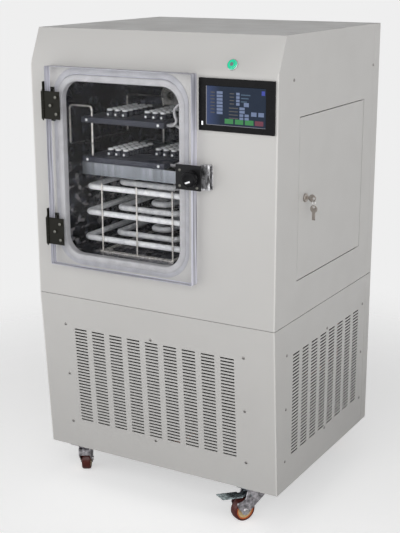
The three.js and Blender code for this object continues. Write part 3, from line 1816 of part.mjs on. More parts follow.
// The brake pedal's pivot is the zero of its group; it reaches out past the wheel.
function brakePedal() {
  const stem = outline([
    [-pedalPinRadius * 1.6, -pedalThickness / 2],
    [-pedalPinRadius * 1.6, pedalThickness],
    [pedalFlare + overlap, pedalThickness],
    [pedalFlare + overlap, 0],
    [0, -pedalPinRadius * 1.4],
  ]);
  const tread = outline([
    [pedalFlare, 0],
    [pedalFlare, pedalThickness],
    [pedalLength, pedalTipRise],
    [pedalLength, pedalTipRise - pedalThickness],
  ]);
  return join(
    sidePlate(stem, [-pedalStem / 2, pedalStem / 2]),
    sidePlate(tread, [-pedalWidth / 2, pedalWidth / 2]),
    bar("x", pedalPinRadius, [-legOuter - overlap, legOuter + overlap], [0, 0, 0], 8),
  );
}

function caster(name, x, y, turn, hasBrake) {
  const mount = movingGroup(cabinet, `${name}_mount`, [x, y, 0]);
  addPiece(mount, `${name}_plate`, casterPlatePiece(), zinc);
  const swivel = movingGroup(mount, `${name}_swivel`, [0, 0, 0], turn);
  addPiece(swivel, `${name}_fork`, casterFork(hasBrake), zinc);
  const axle = movingGroup(swivel, `${name}_axle`, [0, wheelTrail, wheelRadius]);
  addPiece(axle, `${name}_wheel`, casterWheel(), redTread);
  if (hasBrake) {
    const pivot = movingGroup(swivel, `${name}_brake`, [0, pedalPivotTrail, pedalPivotRise]);
    addPiece(pivot, `${name}_pedal`, brakePedal(), blueZinc);
  }
}

// ---------------------------------------------------------------- assembly
addPiece(cabinet, "frame", frame(), framePaint);
addPiece(cabinet, "upper_housing", upperHousing(), paint);
addPiece(cabinet, "lower_front_panel", lowerFrontPanel(), paint);
addPiece(cabinet, "lower_right_panel", lowerRightPanel(), paint);
addPiece(cabinet, "lower_left_panel", lowerLeftPanel(), paint);
addPiece(cabinet, "rear_upper_cover", rearUpperCover(), rearPaint);
addPiece(cabinet, "rear_lower_cover", rearLowerCover(), rearPaint);

addPiece(cabinet, "chamber_liner", chamberLiner(), stainless);
addPiece(cabinet, "chamber_insulation", chamberInsulation(), foam);
addPiece(cabinet, "chamber_gasket", chamberGasket(), silicone);
const hangers = hangerPlaces();
const rodHoles = [...hangers.left, ...hangers.right];
addPiece(cabinet, "upper_shelf", shelf(upperShelfZ, upperClusters, rodHoles), darkPlate);
addPiece(cabinet, "lower_shelf", shelf(lowerShelfZ, lowerClusters, []), darkPlate);
addPiece(cabinet, "drip_tray", drippingTray(), trayMetal);
addPiece(cabinet, "shelf_hanger_left", shelfHanger(hangers.left, -1), brightSteel);
addPiece(cabinet, "shelf_hanger_right", shelfHanger(hangers.right, 1), brightSteel);
addPiece(cabinet, "cold_trap_coil", coldTrapCoil(), frost);
addPiece(cabinet, "coil_stand", coilStand(), brightSteel);
addPiece(cabinet, "shelf_supply_hose", supplyHose(), silicone);
addPiece(cabinet, "shelf_link_hose", linkHose(), silicone);
addPiece(cabinet, "vacuum_pipe", vacuumPipe(), brightSteel);

addPiece(cabinet, "compressor", compressor(), blackPaint);
addPiece(cabinet, "condenser", condenser(), finMetal);
addPiece(cabinet, "fan_motor", fanMotor(), blackPaint);
addPiece(cabinet, "suction_line", suctionLine(), copper);
addPiece(cabinet, "liquid_line", liquidLine(), copper);
addPiece(cabinet, "control_box", controlBox(), greyPlastic);
addPiece(cabinet, "power_inlet", powerInlet(), blackPlastic);
const fanGroup = movingGroup(cabinet, "fan_axis", [fanX, 0, fanZ]);
addPiece(fanGroup, "condenser_fan", condenserFan(), greyPlastic);

addPiece(cabinet, "touch_panel_bezel", panelBezel(), blackPlastic);
addPiece(cabinet, "touch_panel_screen", panelScreen(), displayGlass);
addPiece(cabinet, "button_housing", buttonHousing(), greenRing);
const buttonGroup = movingGroup(cabinet, "button_axis", buttonOrigin.toArray());
addPiece(buttonGroup, "button_cap", buttonCap(), greyCap);

const doorGroup = movingGroup(cabinet, "chamber_door_axis", [hingeX, hingeY, 0]);
const fromHinge = [-hingeX, -hingeY, 0];
addPiece(doorGroup, "chamber_door", chamberDoor().translate(...fromHinge), acrylic);
addPiece(doorGroup, "hinge_leaf_upper", hingeLeaf(upperHingeRise).translate(...fromHinge), blackSteel);
addPiece(doorGroup, "hinge_leaf_lower", hingeLeaf(lowerHingeRise).translate(...fromHinge), blackSteel);
addPiece(doorGroup, "latch_plate", latchPlate().translate(...fromHinge), blackSteel);
const latchGroup = movingGroup(doorGroup, "latch_axis", [latchShaftX - hingeX, -hingeY, latchZ]);
addPiece(latchGroup, "latch_knob", latchKnob(), blackPlastic);
addPiece(cabinet, "hinge_bracket_upper", hingeBracket(upperHingeRise), blackSteel);
addPiece(cabinet, "hinge_bracket_lower", hingeBracket(lowerHingeRise), blackSteel);
addPiece(cabinet, "latch_strike", latchStrike(), brightSteel);

const accessGroup = movingGroup(cabinet, "access_door_axis", [accessPivotX, accessPivotY, 0]);
const fromPivot = [-accessPivotX, -accessPivotY, 0];
addPiece(accessGroup, "access_door", accessDoor().translate(...fromPivot), paint);
addPiece(accessGroup, "lock_barrel", lockBarrel().translate(...fromPivot), nickel);
const lockPlace = [-accessPivotX, lockY - accessPivotY, lockZ];
const lockGroup = movingGroup(accessGroup, "lock_axis", lockPlace);
addPiece(lockGroup, "lock_plug", lockPlug(), nickel);
addPiece(lockGroup, "door_key", doorKey(), nickel);
const ringGroup = movingGroup(lockGroup, "key_ring_axis", [keyHoleX, 0, ringTopZ - lockZ]);
addPiece(ringGroup, "key_ring", keyRing(), brightSteel);
const spareGroup = movingGroup(ringGroup, "spare_key_axis", [0, 0, -2 * keyRingRadius]);
addPiece(spareGroup, "spare_key", spareKey().translate(0, 0, -ringRest), nickel);

const casterX = halfWidth - casterInsetX;
caster("caster_front_right", casterX, frontCasterY, THREE.MathUtils.degToRad(frontRightCasterTurn), true);
caster("caster_front_left", -casterX, frontCasterY, THREE.MathUtils.degToRad(frontLeftCasterTurn), true);
caster("caster_rear_right", casterX, rearCasterY, 0, false);
caster("caster_rear_left", -casterX, rearCasterY, 0, false);

// The origin is the middle of the footprint, on the floor.
freezeDryer.updateMatrixWorld(true);
const bounds = new THREE.Box3().setFromObject(cabinet);
cabinet.position.set(
  -(bounds.min.x + bounds.max.x) / 2,
  -(bounds.min.y + bounds.max.y) / 2,
  -bounds.min.z,
);
freezeDryer.updateMatrixWorld(true);

export default freezeDryer;
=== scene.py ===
"""Looks for the freeze dryer: finishes for its solids, fine shapes, fasteners, light and camera."""

import json
import math

import bmesh
import bpy
from mathutils import Matrix, Vector

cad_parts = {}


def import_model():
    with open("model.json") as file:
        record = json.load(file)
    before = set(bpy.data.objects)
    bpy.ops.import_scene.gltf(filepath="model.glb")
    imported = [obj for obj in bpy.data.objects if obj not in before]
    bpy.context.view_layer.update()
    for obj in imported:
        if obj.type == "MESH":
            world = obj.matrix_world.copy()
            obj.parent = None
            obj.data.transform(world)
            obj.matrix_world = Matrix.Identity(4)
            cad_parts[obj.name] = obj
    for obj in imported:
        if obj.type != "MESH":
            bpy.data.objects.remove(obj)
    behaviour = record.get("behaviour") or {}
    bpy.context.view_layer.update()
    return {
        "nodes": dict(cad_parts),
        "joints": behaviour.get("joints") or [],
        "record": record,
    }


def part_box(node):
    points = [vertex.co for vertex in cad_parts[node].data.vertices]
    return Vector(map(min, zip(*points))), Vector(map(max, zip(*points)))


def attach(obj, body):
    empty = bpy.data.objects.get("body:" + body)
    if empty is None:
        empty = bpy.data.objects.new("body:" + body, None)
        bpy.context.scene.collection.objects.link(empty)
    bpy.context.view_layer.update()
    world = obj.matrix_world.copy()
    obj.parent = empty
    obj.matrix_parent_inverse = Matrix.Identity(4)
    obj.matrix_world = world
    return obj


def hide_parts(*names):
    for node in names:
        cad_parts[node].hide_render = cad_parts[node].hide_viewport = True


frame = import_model()

MM = 0.001
JOINTS = {joint["name"]: joint for joint in frame["joints"]}
SLOT_OF = {row["node"]: row["material_slot"] for row in frame["record"]["subparts"]}

# ------------------------ the cabinet's own coordinates
HOUSING_LOW, HOUSING_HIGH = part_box("upper_housing")
CENTRE_X = (HOUSING_LOW.x + HOUSING_HIGH.x) / 2
FRONT_Y = HOUSING_LOW.y
REAR_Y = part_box("rear_lower_cover")[1].y
BASE_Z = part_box("lower_front_panel")[0].z
HALF_WIDTH = (HOUSING_HIGH.x - HOUSING_LOW.x) / 2
SEAM_RISE = 456  # mm from the bottom edge to the seam between housing and lower panels
BOTTOM_SETBACK = 31  # mm that the bottom edge lies behind the front plane
LEAN = math.atan2(BOTTOM_SETBACK, SEAM_RISE)
INSIDE_SHADE_DEPTH = 0.9  # mm from a panel's outer face to where the painted shade on its inner faces begins


def place(across, back, rise):
    """A point given in mm from the cabinet's middle, its front plane and its bottom edge."""
    return Vector((CENTRE_X + across * MM, FRONT_Y + back * MM, BASE_Z + rise * MM))


def turned_to(origin, axis):
    """A matrix that puts a shape made along z at origin, pointing along axis."""
    return Matrix.Translation(origin) @ Vector(axis).to_track_quat("Z", "Y").to_matrix().to_4x4()


def add_object(name, data):
    made = bpy.data.objects.new(name, data)
    bpy.context.scene.collection.objects.link(made)
    return made


# ------------------------ materials
def feed(tree, socket, value):
    """Links a node's input to another socket, or sets it to a number, colour or vector."""
    if isinstance(value, bpy.types.NodeSocket):
        tree.links.new(value, socket)
    else:
        socket.default_value = value


def add_node(tree, kind, **inputs):
    """A new node with its named inputs fed."""
    node = tree.nodes.new(kind)
    for name, value in inputs.items():
        feed(tree, node.inputs[name], value)
    return node


def computed(tree, operation, first, second=0.0):
    """A Math node's result."""
    node = tree.nodes.new("ShaderNodeMath")
    node.operation = operation
    feed(tree, node.inputs[0], first)
    feed(tree, node.inputs[1], second)
    return node.outputs[0]


def mixed_shaders(tree, factor, first, second):
    mix = tree.nodes.new("ShaderNodeMixShader")
    for socket, source in zip(mix.inputs, (factor, first, second)):
        feed(tree, socket, source)
    return mix.outputs["Shader"]


LOOKS = {}


class Look:
    """A material, entered in LOOKS, whose variation comes from noise in object space."""

    def __init__(self, name, colour, roughness, metal=0.0):
        LOOKS[name] = self
        self.material = bpy.data.materials.new(name)
        self.material.use_nodes = True
        self.tree = self.material.node_tree
        self.shader = self.tree.nodes["Principled BSDF"]
        self.coords = add_node(self.tree, "ShaderNodeTexCoord").outputs["Object"]
        self.colour = colour
        self.roughness = roughness
        self.normal = None
        self.set("Base Color", (*colour, 1))
        self.set("Roughness", roughness)
        self.set("Metallic", metal)
        self.material.diffuse_color = (*colour, 1)

    def set(self, socket, value):
        feed(self.tree, self.shader.inputs[socket], value)
        return self

    def noise(self, scale, stretch=(1, 1, 1), detail=3.0):
        mapping = add_node(self.tree, "ShaderNodeMapping", Vector=self.coords, Scale=stretch)
        inputs = {"Vector": mapping.outputs["Vector"], "Scale": scale, "Detail": detail}
        return add_node(self.tree, "ShaderNodeTexNoise", **inputs).outputs["Fac"]

    def ramp(self, factor, low, high, from_low=0.35, from_high=0.65):
        limits = {"From Min": from_low, "From Max": from_high, "To Min": low, "To Max": high}
        return add_node(self.tree, "ShaderNodeMapRange", Value=factor, **limits).outputs["Result"]

    def blend(self, factor, first, second):
        """Puts a mix of two colours on the base colour."""
        mix = self.tree.nodes.new("ShaderNodeMix")
        mix.data_type = "RGBA"
        feed(self.tree, mix.inputs[0], factor)
        # A Mix node's sockets have the same names for each data type, so they are found by type.
        colours = [socket for socket in mix.inputs if socket.type == "RGBA"]
        feed(self.tree, colours[0], first)
        feed(self.tree, colours[1], second)
        return self.set("Base Color", [s for s in mix.outputs if s.type == "RGBA"][0])

    def vary_colour(self, scale, dark, light, stretch=(1, 1, 1), detail=3.0):
        """Runs the colour from dark to light times itself, in patches of 1/scale metres."""
        darker = (*(c * dark for c in self.colour), 1)
        lighter = (*(min(1, c * light) for c in self.colour), 1)
        return self.blend(self.ramp(self.noise(scale, stretch, detail), 0, 1), darker, lighter)

    def overlay(self, mask, colour):
        """Lays a colour over the base colour where the mask is 1."""
        base = self.shader.inputs["Base Color"]
        below = base.links[0].from_socket if base.links else base.default_value
        return self.blend(mask, below, (*colour, 1))

    def vary_roughness(self, scale, spread, stretch=(1, 1, 1)):
        low = max(0.02, self.roughness - spread)
        value = self.ramp(self.noise(scale, stretch), low, self.roughness + spread)
        return self.set("Roughness", value)

    def relief(self, scale, height, stretch=(1, 1, 1), detail=2.0):
        """Adds a bump of that height in mm."""
        inputs = {"Distance": height * MM, "Height": self.noise(scale, stretch, detail)}
        if self.normal is not None:
            inputs["Normal"] = self.normal
        self.normal = add_node(self.tree, "ShaderNodeBump", **inputs).outputs["Normal"]
        return self.set("Normal", self.normal)

    def compute(self, operation, first, second=0.0):
        return computed(self.tree, operation, first, second)

    def axes(self):
        """The point's three coordinates in the object's space."""
        return add_node(self.tree, "ShaderNodeSeparateXYZ", Vector=self.coords).outputs


def enamel(name, colour, roughness, peel=0.02):
    """Sprayed enamel: faint broad patches and an orange-peel skin."""
    look = Look(name, colour, roughness)
    look.vary_colour(5, 0.985, 1.015).vary_roughness(14, 0.05)
    return look.relief(420, peel)


def inside_shaded_enamel(name, colour, roughness, inside_shade):
    """Enamel outside, and painted shade on the faces that look into the cabinet: a dark colour
    standing in for the shade within.
    """
    look = enamel(name, colour, roughness)
    axes = look.axes()
    off_middle = look.compute("ABSOLUTE", look.compute("SUBTRACT", axes["X"], CENTRE_X))
    within_sides = look.compute("LESS_THAN", off_middle, HALF_WIDTH - INSIDE_SHADE_DEPTH * MM)
    within_rear = look.compute("LESS_THAN", axes["Y"], REAR_Y - INSIDE_SHADE_DEPTH * MM)
    # Near-black colour on the inner faces is painted shade.
    return look.overlay(look.compute("MULTIPLY", within_sides, within_rear), inside_shade)


def body_enamel(name, colour, roughness):
    """The cabinet's enamel, with a painted highlight along its two upright front corners."""
    look = enamel(name, colour, roughness)
    axes = look.axes()
    off_middle = look.compute("ABSOLUTE", look.compute("SUBTRACT", axes["X"], CENTRE_X))
    edge = look.ramp(off_middle, 0, 1, HALF_WIDTH - 4 * MM, HALF_WIDTH - 2 * MM)
    back = look.compute("SUBTRACT", axes["Y"], FRONT_Y)
    rise = look.compute("SUBTRACT", axes["Z"], BASE_Z)
    slant = look.compute("MULTIPLY", rise, BOTTOM_SETBACK / SEAM_RISE)
    lower = look.compute("SUBTRACT", look.compute("ADD", back, slant), BOTTOM_SETBACK * MM)
    near = look.ramp(look.compute("MINIMUM", back, lower), 1, 0, 2 * MM, 4 * MM)
    # Paler colour along each upright front corner is a painted highlight, where the fold catches
    # the light.
    corner_highlight = tuple(min(1, 1.3 * c) for c in colour)
    return look.overlay(look.compute("MULTIPLY", look.compute("MULTIPLY", edge, near), 0.8), corner_highlight)


def brushed(name, colour, roughness, stretch=(1, 1, 1), height=0.01):
    """Bare metal with fine lines and a slightly uneven shine."""
    look = Look(name, colour, roughness, metal=1.0)
    look.vary_colour(30, 0.9, 1.08, stretch).vary_roughness(60, 0.07, stretch)
    return look.relief(500, height, stretch)


def moulded(name, colour, roughness, grain=0.015):
    look = Look(name, colour, roughness)
    look.vary_colour(40, 0.92, 1.08).vary_roughness(50, 0.06)
    return look.relief(900, grain)


def stainless():
    """Rolled sheet in the dark chamber: wavy, so that what it reflects breaks into streaks. Its
    dark base colour is painted shade, and its stretched light patches are painted reflection.

    Low down, near the cold coil, pale matt patches are painted reflection of the frosted coil, with
    some rime. Lighter bluish streaks all over are painted reflection too.
    """
    look = Look("stainless", (0.05, 0.052, 0.064), 0.2, metal=1.0)
    # Dark base colour with stretched lighter patches: painted shade and painted reflection.
    look.vary_colour(16, 0.25, 3.2, (1, 0.6, 1.6), detail=6.0).vary_roughness(25, 0.08)
    look.relief(9, 5.0, (1, 0.6, 1), detail=2.0)
    # Pale matt patches low down: painted reflection of the coil, with some rime.
    patches = look.ramp(look.noise(48, (1, 0.6, 1.2), 8.0), 0, 1, 0.5, 0.62)
    low = look.ramp(look.axes()["Z"], 1, 0.14, BASE_Z + 740 * MM, BASE_Z + 880 * MM)
    coil_reflection_and_rime = look.compute("MULTIPLY", patches, low)
    look.overlay(coil_reflection_and_rime, (0.34, 0.325, 0.33))
    # Lighter bluish streaks: painted reflection.
    reflected_streaks = look.ramp(look.noise(85, (1, 1, 0.6), 6.0), 0, 0.6, 0.52, 0.66)
    look.overlay(reflected_streaks, (0.15, 0.165, 0.21))
    matt = look.compute("MAXIMUM", coil_reflection_and_rime, reflected_streaks)
    look.set("Metallic", look.compute("SUBTRACT", 1.0, matt))
    return look.relief(60, 0.6)


def patchy_metal(name, colour, roughness, metal, patches, stretch=(1, 1, 1)):
    """Metal with patches of darker and lighter colour, given as (scale, dark, light)."""
    look = Look(name, colour, roughness, metal)
    return look.vary_colour(*patches, stretch).vary_roughness(80, 0.08)


ROD_STEEL = ((0.74, 0.71, 0.67), 0.28, 0.35, (60, 0.8, 1.15))


def hanger_steel():
    """Polished rod, with painted shade on its foot bars along the chamber's wall and on its rear
    top bar.
    """
    look = patchy_metal("hanger_steel", *ROD_STEEL)
    low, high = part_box("shelf_hanger_left")
    axes = look.axes()
    foot = look.ramp(axes["Z"], 1, 0, low.z + 28 * MM, low.z + 30 * MM)
    wall = look.ramp(axes["X"], 1, 0, low.x + 11 * MM, low.x + 13 * MM)
    top = look.ramp(axes["Z"], 0, 1, high.z - 8 * MM, high.z - 5 * MM)
    rear = look.ramp(axes["Y"], 0, 0.8, high.y - 20 * MM, high.y - 19 * MM)
    # Near-black colour on the foot bars and the rear top bar is painted shade.
    shaded_foot_bars = look.compute("MULTIPLY", foot, wall)
    shaded_rear_bar = look.compute("MULTIPLY", top, rear)
    return look.overlay(look.compute("MAXIMUM", shaded_foot_bars, shaded_rear_bar), (0.02, 0.02, 0.022))


def acrylic_edge():
    """The door's polished edges, painted with bands of pale and lavender light that run along the
    sheet.
    """
    along = (0.03, 1, 0.03)
    look = Look("acrylic_edge", (0.47, 0.47, 0.53), 0.22)
    look.vary_colour(170, 0.62, 1.6, along, detail=2.0).vary_roughness(80, 0.08, along)
    return look.relief(120, 0.15, along)


def frosted():
    """Tube with a skin of rime: pale, matt and grainy."""
    look = Look("frost", (0.93, 0.94, 0.98), 0.55)
    look.vary_colour(60, 0.82, 1.06).vary_roughness(90, 0.12)
    return look.relief(120, 2.5, detail=5.0)


def acrylic():
    """Thick clear sheet. Light that casts shadows passes, so that what is behind it is lit.

    Its index is kept low, so that no pale veil of the studio lies over the dark chamber.
    """
    look = Look("acrylic", (0.985, 0.99, 1.0), 0.0)
    look.set("Transmission Weight", 1.0).set("IOR", 1.15).relief(9, 0.05)
    tree = look.tree
    path = add_node(tree, "ShaderNodeLightPath").outputs
    passes = look.compute("MAXIMUM", path["Is Shadow Ray"], path["Is Diffuse Ray"])
    clear = add_node(tree, "ShaderNodeBsdfTransparent").outputs["BSDF"]
    surface = mixed_shaders(tree, passes, look.shader.outputs["BSDF"], clear)
    feed(tree, tree.nodes["Material Output"].inputs["Surface"], surface)


def lit(name, colour, glow, strength=0.8):
    """A glowing field behind a clear cover, a little uneven as real back light is."""
    look = Look(name, colour, 0.25).vary_colour(60, 0.85, 1.1)
    look.set("Emission Color", (*glow, 1))
    return look.set("Emission Strength", strength)


BRUSH_UPRIGHT = (1, 1, 0.05)


def tray_metal():
    """Sheet ground up and down, its colour darker towards its bottom edge."""
    look = brushed("tray_metal", (0.24, 0.253, 0.275), 0.42, BRUSH_UPRIGHT)
    look.vary_colour(70, 0.72, 1.22, BRUSH_UPRIGHT)
    low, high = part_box("drip_tray")
    down = look.ramp(look.axes()["Z"], 0.45, 0, low.z, high.z - 6 * MM)
    return look.overlay(down, (0.12, 0.13, 0.145))


def display_glass():
    """The lit screen, with a bluer and paler glow towards its left edge."""
    look = lit("display_glass", (0.006, 0.009, 0.015), (0.010, 0.017, 0.033), 1.0)
    low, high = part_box("touch_panel_screen")
    near = look.ramp(look.axes()["X"], 1, 0, low.x, low.x + 0.25 * (high.x - low.x))
    return look.overlay(near, (0.035, 0.05, 0.12))


ENAMEL = ((0.56, 0.55, 0.535), 0.42)
body_enamel("body_paint", *ENAMEL)
# The lower panels' inner faces carry painted shade, a near-black colour.
inside_shaded_enamel("inside_shaded_paint", *ENAMEL, (0.03, 0.03, 0.032))
# The frame's dark colour is painted shade inside the base.
enamel("frame_paint", (0.07, 0.075, 0.08), 0.5)
stainless()
# The foam's pale colour is painted light: it lifts the shade in the gap round the gasket.
moulded("foam", (0.80, 0.80, 0.90), 0.85, grain=0.3)
moulded("silicone", (0.49, 0.485, 0.50), 0.5)
moulded("gasket_foot", (0.47, 0.47, 0.50), 0.5)
enamel("dark_plate", (0.05, 0.053, 0.07), 0.3)
tray_metal()
brushed("bright_steel", (0.72, 0.71, 0.70), 0.16)
frosted()
enamel("black_paint", (0.015, 0.015, 0.016), 0.3)
# The condenser fins' dark colour is painted shade inside the base.
brushed("fin_metal", (0.07, 0.07, 0.075), 0.5, (60, 1, 1), height=0.4)
brushed("copper", (0.62, 0.26, 0.14), 0.28)
moulded("grey_plastic", (0.10, 0.105, 0.11), 0.5)
moulded("black_plastic", (0.005, 0.005, 0.006), 0.28)
display_glass()
brushed("green_ring", (0.55, 0.56, 0.57), 0.22)
brushed("grey_cap", (0.20, 0.24, 0.24), 0.3)
acrylic()
acrylic_edge()
enamel("black_steel", (0.014, 0.0135, 0.010), 0.38, peel=0.05)
brushed("nickel", (0.42, 0.38, 0.35), 0.3)
brushed("zinc", (0.52, 0.50, 0.53), 0.33).vary_colour(110, 0.5, 1.5)
moulded("tread", (0.085, 0.012, 0.008), 0.35)
moulded("amber_hub", (0.62, 0.47, 0.24), 0.3)
moulded("hub_rim", (0.55, 0.12, 0.02), 0.3)
brushed("pedal_zinc", (0.42, 0.50, 0.52), 0.3).vary_colour(110, 0.4, 1.6)
patchy_metal("rod_steel", *ROD_STEEL)
hanger_steel()
# The strike's strong dark and pale patches are painted reflection.
patchy_metal("strike_steel", (0.62, 0.62, 0.64), 0.2, 0.7, (95, 0.16, 1.5), (1, 1, 0.5))
# The vacuum port's pale colour is a painted highlight.
patchy_metal("port_pale_highlight", (0.92, 0.88, 0.82), 0.3, 0.2, (60, 0.6, 1.1))
# The pale bar on the latch knob is a painted glint.
moulded("knob_glint", (0.9, 0.9, 0.93), 0.2, grain=0.004)
# The vials' dark body colour is painted shade: the dark chamber seen through clear glass.
moulded("vial_body", (0.045, 0.047, 0.06), 0.08, grain=0.004)
moulded("vial_cap", (0.95, 0.96, 0.99), 0.2)
brushed("screw", (0.30, 0.29, 0.28), 0.36)
brushed("hinge_screw", (0.20, 0.20, 0.18), 0.35)
lit("green_glow", (0.0, 0.22, 0.13), (0.0, 0.46, 0.24), 1.0)
lit("white_glow", (0.7, 0.7, 0.72), (0.8, 0.82, 0.85), 0.7)
lit("field_value", (0.05, 0.06, 0.08), (0.095, 0.14, 0.27))
lit("field_dim", (0.02, 0.03, 0.04), (0.012, 0.05, 0.10))
lit("field_label", (0.03, 0.028, 0.028), (0.035, 0.035, 0.034))
lit("field_green", (0.006, 0.05, 0.012), (0.006, 0.17, 0.035))
lit("field_red", (0.04, 0.004, 0.010), (0.10, 0.006, 0.028))
lit("field_blue", (0.005, 0.01, 0.1), (0.012, 0.03, 0.26))
lit("glare", (0.1, 0.1, 0.11), (0.13, 0.13, 0.16))

# Black and glass faces hardly mirror the pale studio, as the real ones hardly mirror their room.
FAINT_MIRROR = 0.12
for paint in ("black_plastic", "black_paint", "black_steel", "dark_plate"):
    LOOKS[paint].set("Specular IOR Level", FAINT_MIRROR)
for glass in ("display_glass", "vial_body"):
    LOOKS[glass].set("Specular IOR Level", FAINT_MIRROR)


# ------------------------ meshes
class Shape:
    """A mesh put together from turned, swept and bevelled parts, each in one of its looks."""

    def __init__(self):
        self.mesh = bmesh.new()

    def keep(self, faces, look):
        bmesh.ops.recalc_face_normals(self.mesh, faces=faces)
        for face in faces:
            face.material_index = look
            face.smooth = True

    def skin(self, outlines, closed, look=0):
        """Joins outlines, each one point or as many as its neighbours, and caps open ends."""
        rings = [[self.mesh.verts.new(point) for point in points] for points in outlines]
        faces = []
        pairs = list(zip(rings, rings[1:]))
        if closed:
            pairs.append((rings[-1], rings[0]))
        for first, second in pairs:
            count = max(len(first), len(second))
            for k in range(count):
                loop = [first[k % len(first)], first[(k + 1) % len(first)]]
                loop += [second[(k + 1) % len(second)], second[k % len(second)]]
                corners = list(dict.fromkeys(loop))
                if len(corners) > 2:
                    faces.append(self.mesh.faces.new(corners))
        if not closed:
            faces += [self.mesh.faces.new(ring) for ring in (rings[0], rings[-1]) if len(ring) > 2]
        self.keep(faces, look)
        return self

    def turn(self, profile, matrix, sides, look=0):
        """Turns (radius, height) in mm round z. A third number is the radius on four arms."""
        closed = profile[0] == profile[-1]
        rings = []
        for point in profile[:-1] if closed else profile:
            radius, height = point[0] * MM, point[1] * MM
            arm = point[2] * MM if len(point) > 2 else radius
            count = 1 if radius == 0 else sides
            ring = []
            for k in range(count):
                reach = arm if k % (sides // 4) == 0 else radius
                angle = math.tau * k / sides
                local = Vector((reach * math.cos(angle), reach * math.sin(angle), height))
                ring.append(matrix @ local)
            rings.append(ring)
        return self.skin(rings, closed, look)

    def sweep(self, path, radius, sides):
        """Runs a round section of that radius in metres along a list of points."""
        rings = []
        side = (path[1] - path[0]).orthogonal().normalized()
        for k, point in enumerate(path):
            ahead = path[min(k + 1, len(path) - 1)] - path[max(k - 1, 0)]
            ahead.normalize()
            side = (side - ahead * side.dot(ahead)).normalized()
            other = ahead.cross(side)
            ring = []
            for j in range(sides):
                angle = math.tau * j / sides
                offset = side * math.cos(angle) + other * math.sin(angle)
                ring.append(point + offset * radius)
            rings.append(ring)
        return self.skin(rings, False)

    def block(self, low, high, bevel=0.0, look=0, turn=None):
        """A block between two corners, turned, with its edges rounded to bevel mm."""
        made = bmesh.ops.create_cube(self.mesh, size=1)
        low, high = Vector(low), Vector(high)
        for vertex in made["verts"]:
            part = vertex.co + Vector((0.5, 0.5, 0.5))
            vertex.co = low + Vector(a * b for a, b in zip(part, high - low))
            if turn:
                vertex.co = turn @ vertex.co
        faces = {face for vertex in made["verts"] for face in vertex.link_faces}
        if bevel:
            edges = list({edge for face in faces for edge in face.edges})
            shape = {"segments": 2, "profile": 0.5, "affect": "EDGES"}
            made = bmesh.ops.bevel(self.mesh, geom=edges, offset=bevel * MM, **shape)
            rounded = {face for vertex in made["verts"] for face in vertex.link_faces}
            faces = rounded | {face for face in faces if face.is_valid}
        self.keep(list(faces), look)
        return self

    def build(self, name, looks, body, slot=None, stands_for=(), angle=40):
        mesh = bpy.data.meshes.new(name)
        self.mesh.to_mesh(mesh)
        self.mesh.free()
        mesh.set_sharp_from_angle(angle=math.radians(angle))
        for look in looks:
            mesh.materials.append(LOOKS[look].material)
        piece = add_object(name, mesh)
        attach(piece, body)
        if stands_for:
            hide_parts(*stands_for)
        return piece


def rounded_path(points, bend, steps, spacing):
    """The points with each corner rounded to that radius, and long runs split to the spacing."""
    path = [points[0]]
    for before, corner, after in zip(points, points[1:], points[2:]):
        back, ahead = (before - corner).normalized(), (after - corner).normalized()
        half = back.angle(ahead) / 2
        start = corner + back * (bend / math.tan(half))
        centre = corner + (back + ahead).normalized() * (bend / math.sin(half))
        spoke = start - centre
        axis = back.cross(ahead).normalized()
        sweep = math.pi - 2 * half
        for k in range(steps + 1):
            path.append(centre + Matrix.Rotation(-sweep * k / steps, 3, axis) @ spoke)
    path.append(points[-1])
    fine = [path[0]]
    for first, second in zip(path, path[1:]):
        count = max(1, round((second - first).length / spacing))
        fine += [first.lerp(second, k / count) for k in range(1, count + 1)]
    return fine


def spline(points, steps):
    """A smooth curve through the points."""
    path = []
    padded = [2 * points[0] - points[1], *points, 2 * points[-1] - points[-2]]
    for a, b, c, d in zip(padded, padded[1:], padded[2:], padded[3:]):
        for k in range(steps):
            t = k / steps
            square = (2 * a - 5 * b + 4 * c - d) * t**2
            cube = (3 * b - a - 3 * c + d) * t**3
            path.append((2 * b + (c - a) * t + square + cube) / 2)
    path.append(points[-1])
    return path


# ------------------------ finishes of the CAD solids
def smoothing_group(angle):
    """Geometry nodes that join split corners and smooth all but the sharp edges."""
    group = bpy.data.node_groups.new("smooth_by_angle", "GeometryNodeTree")
    for side in ("INPUT", "OUTPUT"):
        group.interface.new_socket("Geometry", in_out=side, socket_type="NodeSocketGeometry")
    start = add_node(group, "NodeGroupInput").outputs[0]
    weld = add_node(group, "GeometryNodeMergeByDistance", Geometry=start, Distance=0.002 * MM)
    faces = add_node(group, "GeometryNodeSetShadeSmooth", Geometry=weld.outputs["Geometry"])
    test = add_node(group, "FunctionNodeCompare")
    test.operation = "GREATER_THAN"
    measure = add_node(group, "GeometryNodeInputMeshEdgeAngle")
    feed(group, test.inputs[0], measure.outputs["Unsigned Angle"])
    feed(group, test.inputs[1], math.radians(angle))
    edges = add_node(group, "GeometryNodeSetShadeSmooth", Geometry=faces.outputs["Geometry"])
    edges.domain = "EDGE"
    edges.inputs["Shade Smooth"].default_value = False
    feed(group, edges.inputs["Selection"], test.outputs["Result"])
    end = add_node(group, "NodeGroupOutput")
    feed(group, end.inputs[0], edges.outputs["Geometry"])
    return group


